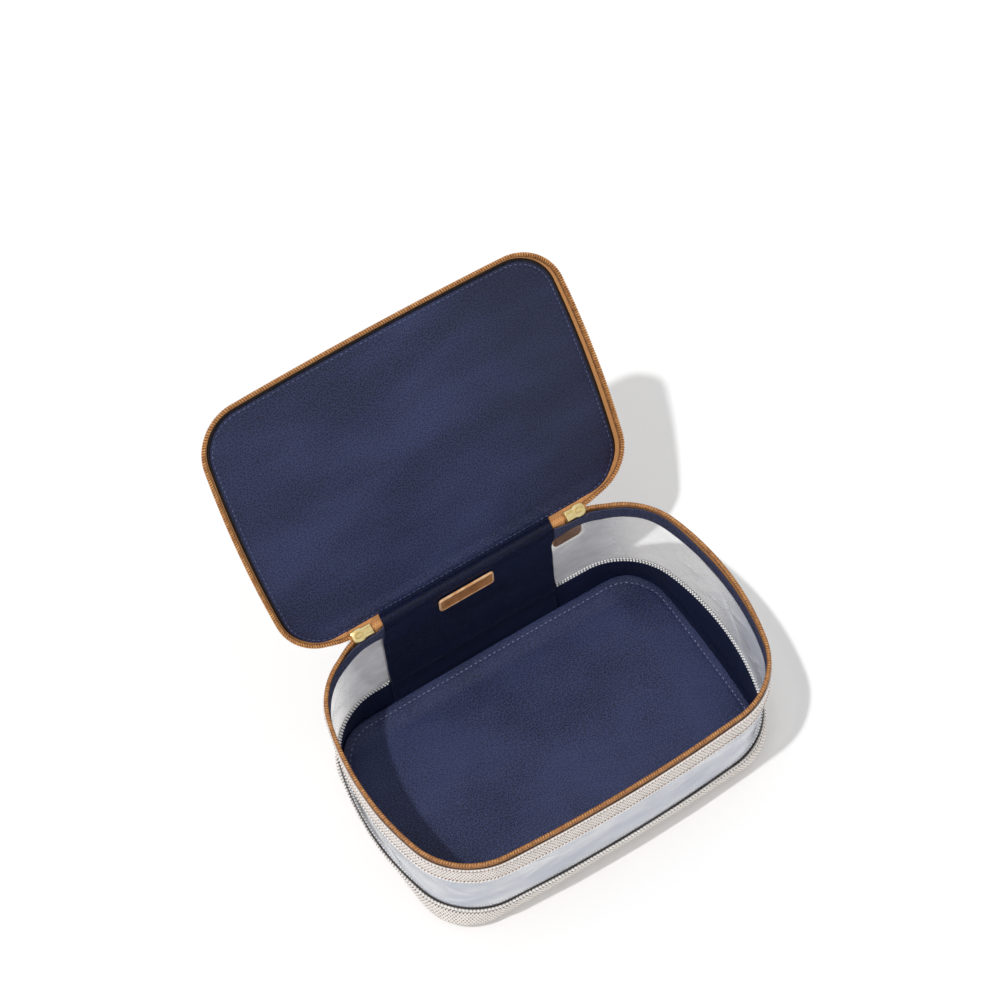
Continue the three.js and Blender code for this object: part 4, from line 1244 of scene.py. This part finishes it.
# A plate from an outline, with softened edges. levels are (height, how far in).
def softPlate(outline, levels):
    outline = np.array(outline, float)
    ahead = np.roll(outline, -1, 0) - np.roll(outline, 1, 0)
    inwards = np.stack([-ahead[:, 1], ahead[:, 0]], 1)
    inwards /= np.linalg.norm(inwards, axis=1)[:, None] + 1e-9
    rows = [atHeight(outline + inwards * step, height) for height, step in levels]
    count = len(outline)
    faces = ringFaces(len(rows), count)
    faces.append(list(range(count))[::-1])
    faces.append([(len(rows) - 1) * count + i for i in range(count)])
    return np.vstack(rows), faces


def joinParts(parts):
    points, faces = [], []
    for partPoints, partFaces in parts:
        first = sum(len(p) for p in points)
        if meshVolume(np.array(partPoints), partFaces) < 0:
            partFaces = [list(reversed(f)) for f in partFaces]
        points.append(np.array(partPoints))
        faces += [[first + v for v in f] for f in partFaces]
    return np.vstack(points), faces


# A closed ring of wire whose centre line lies across x.
def wireRing(centres, radius, sides):
    centres = np.array(centres, float)
    side = np.array([1.0, 0, 0])
    count, points = len(centres), []
    for k in range(count):
        ahead = centres[(k + 1) % count] - centres[k - 1]
        other = np.cross(ahead / np.linalg.norm(ahead), side)
        for s in range(sides):
            turn = 2 * math.pi * s / sides
            points.append(centres[k] + side * math.cos(turn) * radius * 0.95 + other * math.sin(turn) * radius)
    return np.array(points), ringFaces(count, sides, roundAll=True)


sliderPlan = {
    "length": 14.0, "head": 4.3, "tail": 3.4, "plate": 1.0, "channel": 1.5, "barRise": 5.1,
    "leftX": -80.0, "rightX": 77.0, "bridge": 8.0, "shift": 2.6, "slip": 2.3, "outSwing": 47.0,
}


def sliderOutline(grow=0.0):
    p = sliderPlan
    half, head, tail = p["length"] / 2 + grow, p["head"] + grow, p["tail"] + grow
    edge = [(-half + 0.5 * k, -tail) for k in range(12)]
    for k in range(1, 9):
        s = k / 8
        edge.append((-1.2 + 2.6 * s, -(tail + (head - tail) * s * s * (3 - 2 * s))))
    for k in range(1, 13):
        turn = math.pi / 2 * k / 12
        edge.append((1.4 + (half - 1.4) * math.sin(turn) ** 0.85, -head * math.cos(turn) ** 0.62))
    return edge + [(x, -y) for x, y in edge[::-1][1:]]


# The wire bridge that carries the link: up, along and down again.
def bridgeParts(foot):
    p = sliderPlan
    centre, rise, half, bend = -p["shift"], p["barRise"], p["bridge"] / 2 - 0.5, 1.6
    path = [(centre - half, 0, foot)]
    for k in range(11):
        turn = math.pi / 2 * k / 10
        path.append((centre - half + bend * (1 - math.cos(turn)), 0, rise - bend + bend * math.sin(turn)))
    path += [(2 * centre - x, y, z) for x, y, z in path[::-1]]
    path = np.array(path)
    around = roundedLoop(1.7, 0.95, 0.3, 2)
    points = []
    for k, middle in enumerate(path):
        ahead = path[min(k + 1, len(path) - 1)] - path[max(k - 1, 0)]
        ahead /= np.linalg.norm(ahead)
        out = np.array([-ahead[2], 0, ahead[0]])
        points += [middle + np.array([0, 1.0, 0]) * a + out * b for a, b in around]
    ring = len(around)
    faces = ringFaces(len(path), ring)
    return points, faces + [list(range(ring))[::-1], [(len(path) - 1) * ring + s for s in range(ring)]]


def sliderParts():
    p = sliderPlan
    low, high = p["channel"], p["channel"] + p["plate"]
    outline = sliderOutline()
    shell = [(low, 0.2), (low + 0.15, 0), (high - 0.35, 0), (high - 0.12, 0.16), (high, 0.5)]
    outer = softPlate(outline, shell)
    inner = softPlate(outline, [(-z, step) for z, step in shell])
    oval = [(2.6 + 2.7 * math.cos(t), 1.75 * math.sin(t)) for t in np.linspace(0, 2 * math.pi, 33)[:-1]]
    boss = softPlate(oval, [(-high + 0.1, -0.2), (-high - 0.3, 0), (-high - 0.62, 0.16), (-high - 0.62, 0.42),
                            (-high - 0.15, 0.7)])
    ribs = joinParts([softPlate([(-6.2, y - 0.32), (-1.4, y - 0.32), (-1.4, y + 0.32), (-6.2, y + 0.32)],
                                [(-high + 0.1, 0), (-high - 0.3, 0.06), (-high - 0.42, 0.16)])
                      for y in (-1.7, 1.7)])
    wedge = softPlate([(6.2, 0), (4.6, 1.5), (2.2, 0), (4.6, -1.5)], [(-low - 0.2, 0), (low + 0.2, 0)])
    flanges = []
    for sign in (1, -1):
        edge = np.array([q for q in sliderOutline(-0.02) if q[1] * sign > 2.0 and q[0] < 5.2])
        inside = edge - np.array([0, sign * 0.75])
        loop = np.vstack([edge, inside[::-1]])
        flanges += [softPlate(loop, [(a, 0), (b, 0)]) for a, b in ((0.55, low + 0.2), (-low - 0.2, -0.55))]
    return joinParts([outer, inner, boss, ribs, wedge, *flanges, bridgeParts(high - 0.2)])


# From the slider's own directions (along, across, out) to its place beside the panel, half way open.
def placeSlider(points, sliderX):
    sign = 1 if sliderX > 0 else -1
    shut = np.stack([sliderX + points[:, 0] * sign, hingeY + points[:, 2], hingeZ - points[:, 1]], 1)
    return turnLid(shut, 0.5)


linkPlan = {"wire": 0.45, "inner": 1.4, "drop": 4.6, "hang": 6.225}
tabPlan = {"width": 21.5, "length": 26.0, "thickness": 2.2, "corner": 3.6, "above": 2.5, "hole": 1.3,
           "stitch": 1.6, "pitch": 1.9, "seamOpen": 2.4}

for side, sliderX, swing in (("left", sliderPlan["leftX"], sliderPlan["outSwing"]),
                             ("right", sliderPlan["rightX"], 0.0)):
    sign = 1 if sliderX > 0 else -1
    points, faces = sliderParts()
    if sign < 0:
        faces = [list(reversed(f)) for f in faces]
    body = makePiece(side + "SliderBody", placeSlider(points, sliderX), faces, brass)
    body.data.set_sharp_from_angle(angle=math.radians(38))
    finished(body, side + "_slider", "brass", side + "_slider")

    chainFrom = (panelRight if sign > 0 else panelLeft) - sign * 1.0
    chainTo = sliderX - sign * (sliderPlan["length"] / 2 - 0.6)
    route = np.stack([np.linspace(chainFrom, chainTo, 40), np.full(40, hingeY), np.full(40, hingeZ)], 1)
    chainLoop = loopShape(side + "ChainLoop", 2.3, 4.4, 0.36, 0.3)
    chain = repeatAlong(side + "ClosedChain", route, chainLoop, 0.9, coil, place=lambda p: turnLid(p, 0.5))
    finished(chain, side + "_zip_end", "zip_coil", side + "_closed_chain")

    alongSlider = -(sliderPlan["shift"] + sliderPlan["slip"])
    pivot = placeSlider(np.array([[alongSlider, 0.0, sliderPlan["barRise"]]]), sliderX)[0]
    angle = math.radians(swing)

    def hang(local, pivot=pivot, angle=angle):
        y, z = local[:, 1], local[:, 2]
        return np.stack([local[:, 0] + pivot[0], pivot[1] + y * math.cos(angle) - z * math.sin(angle),
                         pivot[2] + y * math.sin(angle) + z * math.cos(angle)], 1)

    radius = linkPlan["inner"] + linkPlan["wire"]
    wire = [(0, radius * math.cos(t), drop + radius * math.sin(t))
            for start, drop in ((0, 0.0), (math.pi, -linkPlan["drop"]))
            for t in np.linspace(start, start + math.pi, 15)]
    linkPoints, linkFaces = wireRing(wire, linkPlan["wire"], 10)
    link = makePiece(side + "LinkWire", hang(linkPoints), linkFaces, brass)
    finished(link, side + "_link", "brass", side + "_link")

    width, length, thick = tabPlan["width"], tabPlan["length"], tabPlan["thickness"] / 2
    drop = -length / 2 + tabPlan["above"]
    outline = [(a, b + drop) for a, b in roundedLoop(width, length, tabPlan["corner"], 8)]
    plate, plateFaces = softPlate(outline, [(-thick, 0.45), (-thick + 0.18, 0.12), (-thick + 0.5, 0),
                                            (thick - 0.5, 0), (thick - 0.18, 0.12), (thick, 0.45)])
    count = len(outline)
    hole = [(tabPlan["hole"] * math.cos(t), tabPlan["hole"] * math.sin(t))
            for t in np.linspace(0, 2 * math.pi, count + 1)[:-1]]
    rims = np.array([(*h, z) for z in (-thick, thick) for h in hole])
    first, last = len(plate), 5 * count
    plateFaces = plateFaces[:-2]
    for i in range(count):
        n = (i + 1) % count
        plateFaces.append([i, first + i, first + n, n])
        plateFaces.append([last + i, last + n, first + count + n, first + count + i])
        plateFaces.append([first + i, first + count + i, first + count + n, first + n])
    tabPoints = np.vstack([plate, rims])
    tabLocal = np.stack([tabPoints[:, 0], tabPoints[:, 2], tabPoints[:, 1] - linkPlan["hang"]], 1)
    tab = makePiece(side + "LeatherTab", hang(tabLocal), plateFaces, shadedTabLeather)
    tab.data.set_sharp_from_angle(angle=math.radians(50))
    finished(tab, side + "_pull", "leather", side + "_pull_tab")
    inset, gapX = tabPlan["stitch"], tabPlan["seamOpen"]
    for face, label in ((-1, "Front"), (1, "Back")):
        seam = roundedLoop(width - 2 * inset, length - 2 * inset, tabPlan["corner"] - inset, 8)
        high = length / 2 - inset
        seam = np.array([(-gapX, high)] + seam[9:] + seam[:9] + [(gapX, high)])
        local = np.stack([seam[:, 0], np.full(len(seam), face * (thick + 0.02)),
                          seam[:, 1] + drop - linkPlan["hang"]], 1)
        tabStitch = beadShape(side + "TabStitch" + label, 1.3, 0.16)
        stitches = repeatAlong(side + "TabSeam" + label, hang(local), tabStitch, tabPlan["pitch"],
                               threads["brownThread"])
        finished(stitches, side + "_pull", "leather")
print("sliders and tabs ready")

# Leather patch: a bare tab with a thicker, paler rim.
patchPlan = {"width": 40.0, "height": 13.0, "corner": 2.6, "x": -7.4, "z": 91.3, "ahead": 4.05}
outline = roundedLoop(patchPlan["width"], patchPlan["height"], patchPlan["corner"], 8)
levels = [(0.0, 0.0), (0.8, 0.0), (1.25, 0.12), (1.45, 0.45), (1.45, 0.95), (1.25, 1.25), (1.2, 1.6)]
patchPoints, patchFaces = softPlate(outline, levels)
patchY = wallOutline(patchPlan["z"])["backDepth"] - patchPlan["ahead"]
patchPlace = np.stack([patchPlan["x"] - patchPoints[:, 0], patchY - patchPoints[:, 2],
                       patchPlan["z"] + patchPoints[:, 1]], 1)
patch = makePiece("leatherPatch", patchPlace, patchFaces, leather)
patch.data.materials.append(leatherEdge)
rimCount = len(outline) * 5
for polygon in patch.data.polygons:
    if polygon.index < rimCount:
        polygon.material_index = 1
patch.data.set_sharp_from_angle(angle=math.radians(60))
finished(patch, "base", "leather", "leather_patch")
print("patch ready")


smallStitch = beadShape("smallStitch", 2.1, 0.24)
bandDot = beadShape("bandDot", 1.1, 0.5, 0.8)
tinyDot = beadShape("tinyDot", 0.8, 0.26)
hemBead = beadShape("hemBead", 1.95, 0.85, 0.7)
innerBead = beadShape("innerBead", 1.55, 0.66, 0.8)
gapHere = (panelLeft - 0.6, panelRight + 0.6)
gapLow = (gapHere[0] + leanPlan["below"], gapHere[1] + leanPlan["below"])
seamPlan = {"hem": 2.3, "inner": 2.1, "film": 1.5}
step, innerStep = seamPlan["hem"], seamPlan["inner"]

# Name, height, inset, shape, pitch, thread, wave, gap and place. The last number starts a row later,
# so that two rows can stand between each other.
seams = (
    ("upperBandTopHem", 95.4, 0.1, hemBead, step, "creamThread", bandWave, gapHere, bandShape, 0.0),
    ("upperBandTopDots", 94.0, -0.02, bandDot, step, "brownThread", bandWave, gapHere, bandShape, step / 2),
    ("upperBandScallops", 77.3, 0.05, hemBead, step, "creamThread", bandWave, gapHere, bandShape, 0.0),
    ("upperBandLowDots", 78.9, -0.02, bandDot, step, "brownThread", bandWave, gapHere, bandShape, step / 2),
    ("lowerBandTopHem", 28.6, 0.0, hemBead, step, "creamThread", lowWave, None, None, 0.0),
    ("lowerBandTopDots", 27.7, -0.08, bandDot, step, "darkThread", lowWave, None, None, step / 2),
    ("lowerBandSecondDots", 25.4, -0.02, bandDot, step, "darkThread", lowWave, None, None, 0.0),
    ("filmStitches", 32.4, 1.35, tinyDot, seamPlan["film"], "greyThread", None, gapLow, None, 0.0),
    ("innerHemHigh", 32.0, 2.1, innerBead, innerStep, "whiteThread", None, gapLow, None, 0.0),
    ("innerHemHighGaps", 32.0, 2.1, tinyDot, innerStep, "darkThread", None, gapLow, None, innerStep / 2),
    ("innerHemLow", 30.4, 2.5, innerBead, innerStep, "whiteThread", None, gapLow, None, innerStep / 2),
    ("innerHemLowGaps", 30.4, 2.5, tinyDot, innerStep, "darkThread", None, gapLow, None, 0.0),
)
for name, z, inset, shape, pitch, thread, wave, gap, place, shift in seams:
    found, at = stations(outlineLoop(wallOutline(z), inset), 1400, gap)
    found, at = found[at >= at[0] + shift], at[at >= at[0] + shift]
    row = wallRow(found, at, z, wave)
    beads = repeatAlong(name, place(row) if place else row, shape, pitch, threads[thread])
    finished(beads, "base", "canvas")
# A dark brown strip behind the upper band's top hem, so that the hem's beads stand out: painted shade behind
# them.
topShadeStrip = sweep("upperBandBinding", bandSection(94.9, 96.9, 0.75, 0.4, 3), threads["brownShadeStrip"],
                   wallOutline, gap=besideGap, wave=bandWave, place=besidePanel)
finished(topShadeStrip, "base", "canvas")
# A near-black strip along the lower band's top: painted shadow in the gap between the film and the band.
lowShadeLine = sweep("lowerBandBinding", bandSection(28.6, 30.7, 0.95, 0.45, 3), threads["darkShadeStrip"],
                   wallOutline, wave=lowWave)
finished(lowShadeLine, "base", "canvas")


def padSeam(name, outline, step, z, rise, pitch, body, thread, place=None, middle=0.55):
    found, _ = stations(outlineLoop(outline, 0), 600)
    spine, reach = padSpine(found, outline, middle)
    flat = found[:, :2] + (spine - found[:, :2]) * step / reach
    height = z + rise(flat[:, 0], flat[:, 1], np.full(len(flat), step)) + 0.12
    piece = repeatAlong(name, atHeight(flat, height), smallStitch, pitch, threads[thread], place=place)
    finished(piece, body, "lining")


padSeam("floorStitches", floorShape, floorPlan["stitch"], floorPlan["high"], floorRise, floorPlan["pitch"],
        "base", "floorThread")
padSeam("lidStitches", lidPadOutline, padPlan["stitch"], padPlan["thickness"], lidRise, padPlan["pitch"],
        "lid", "navyThread", openPad, 0.5)
print("stitches ready")

for name in ("floor_board", "lid_board"):
    nodes[name].data.materials.clear()
    nodes[name].data.materials.append(fibreBoard)

for shape in helperShapes:
    bpy.data.objects.remove(shape)
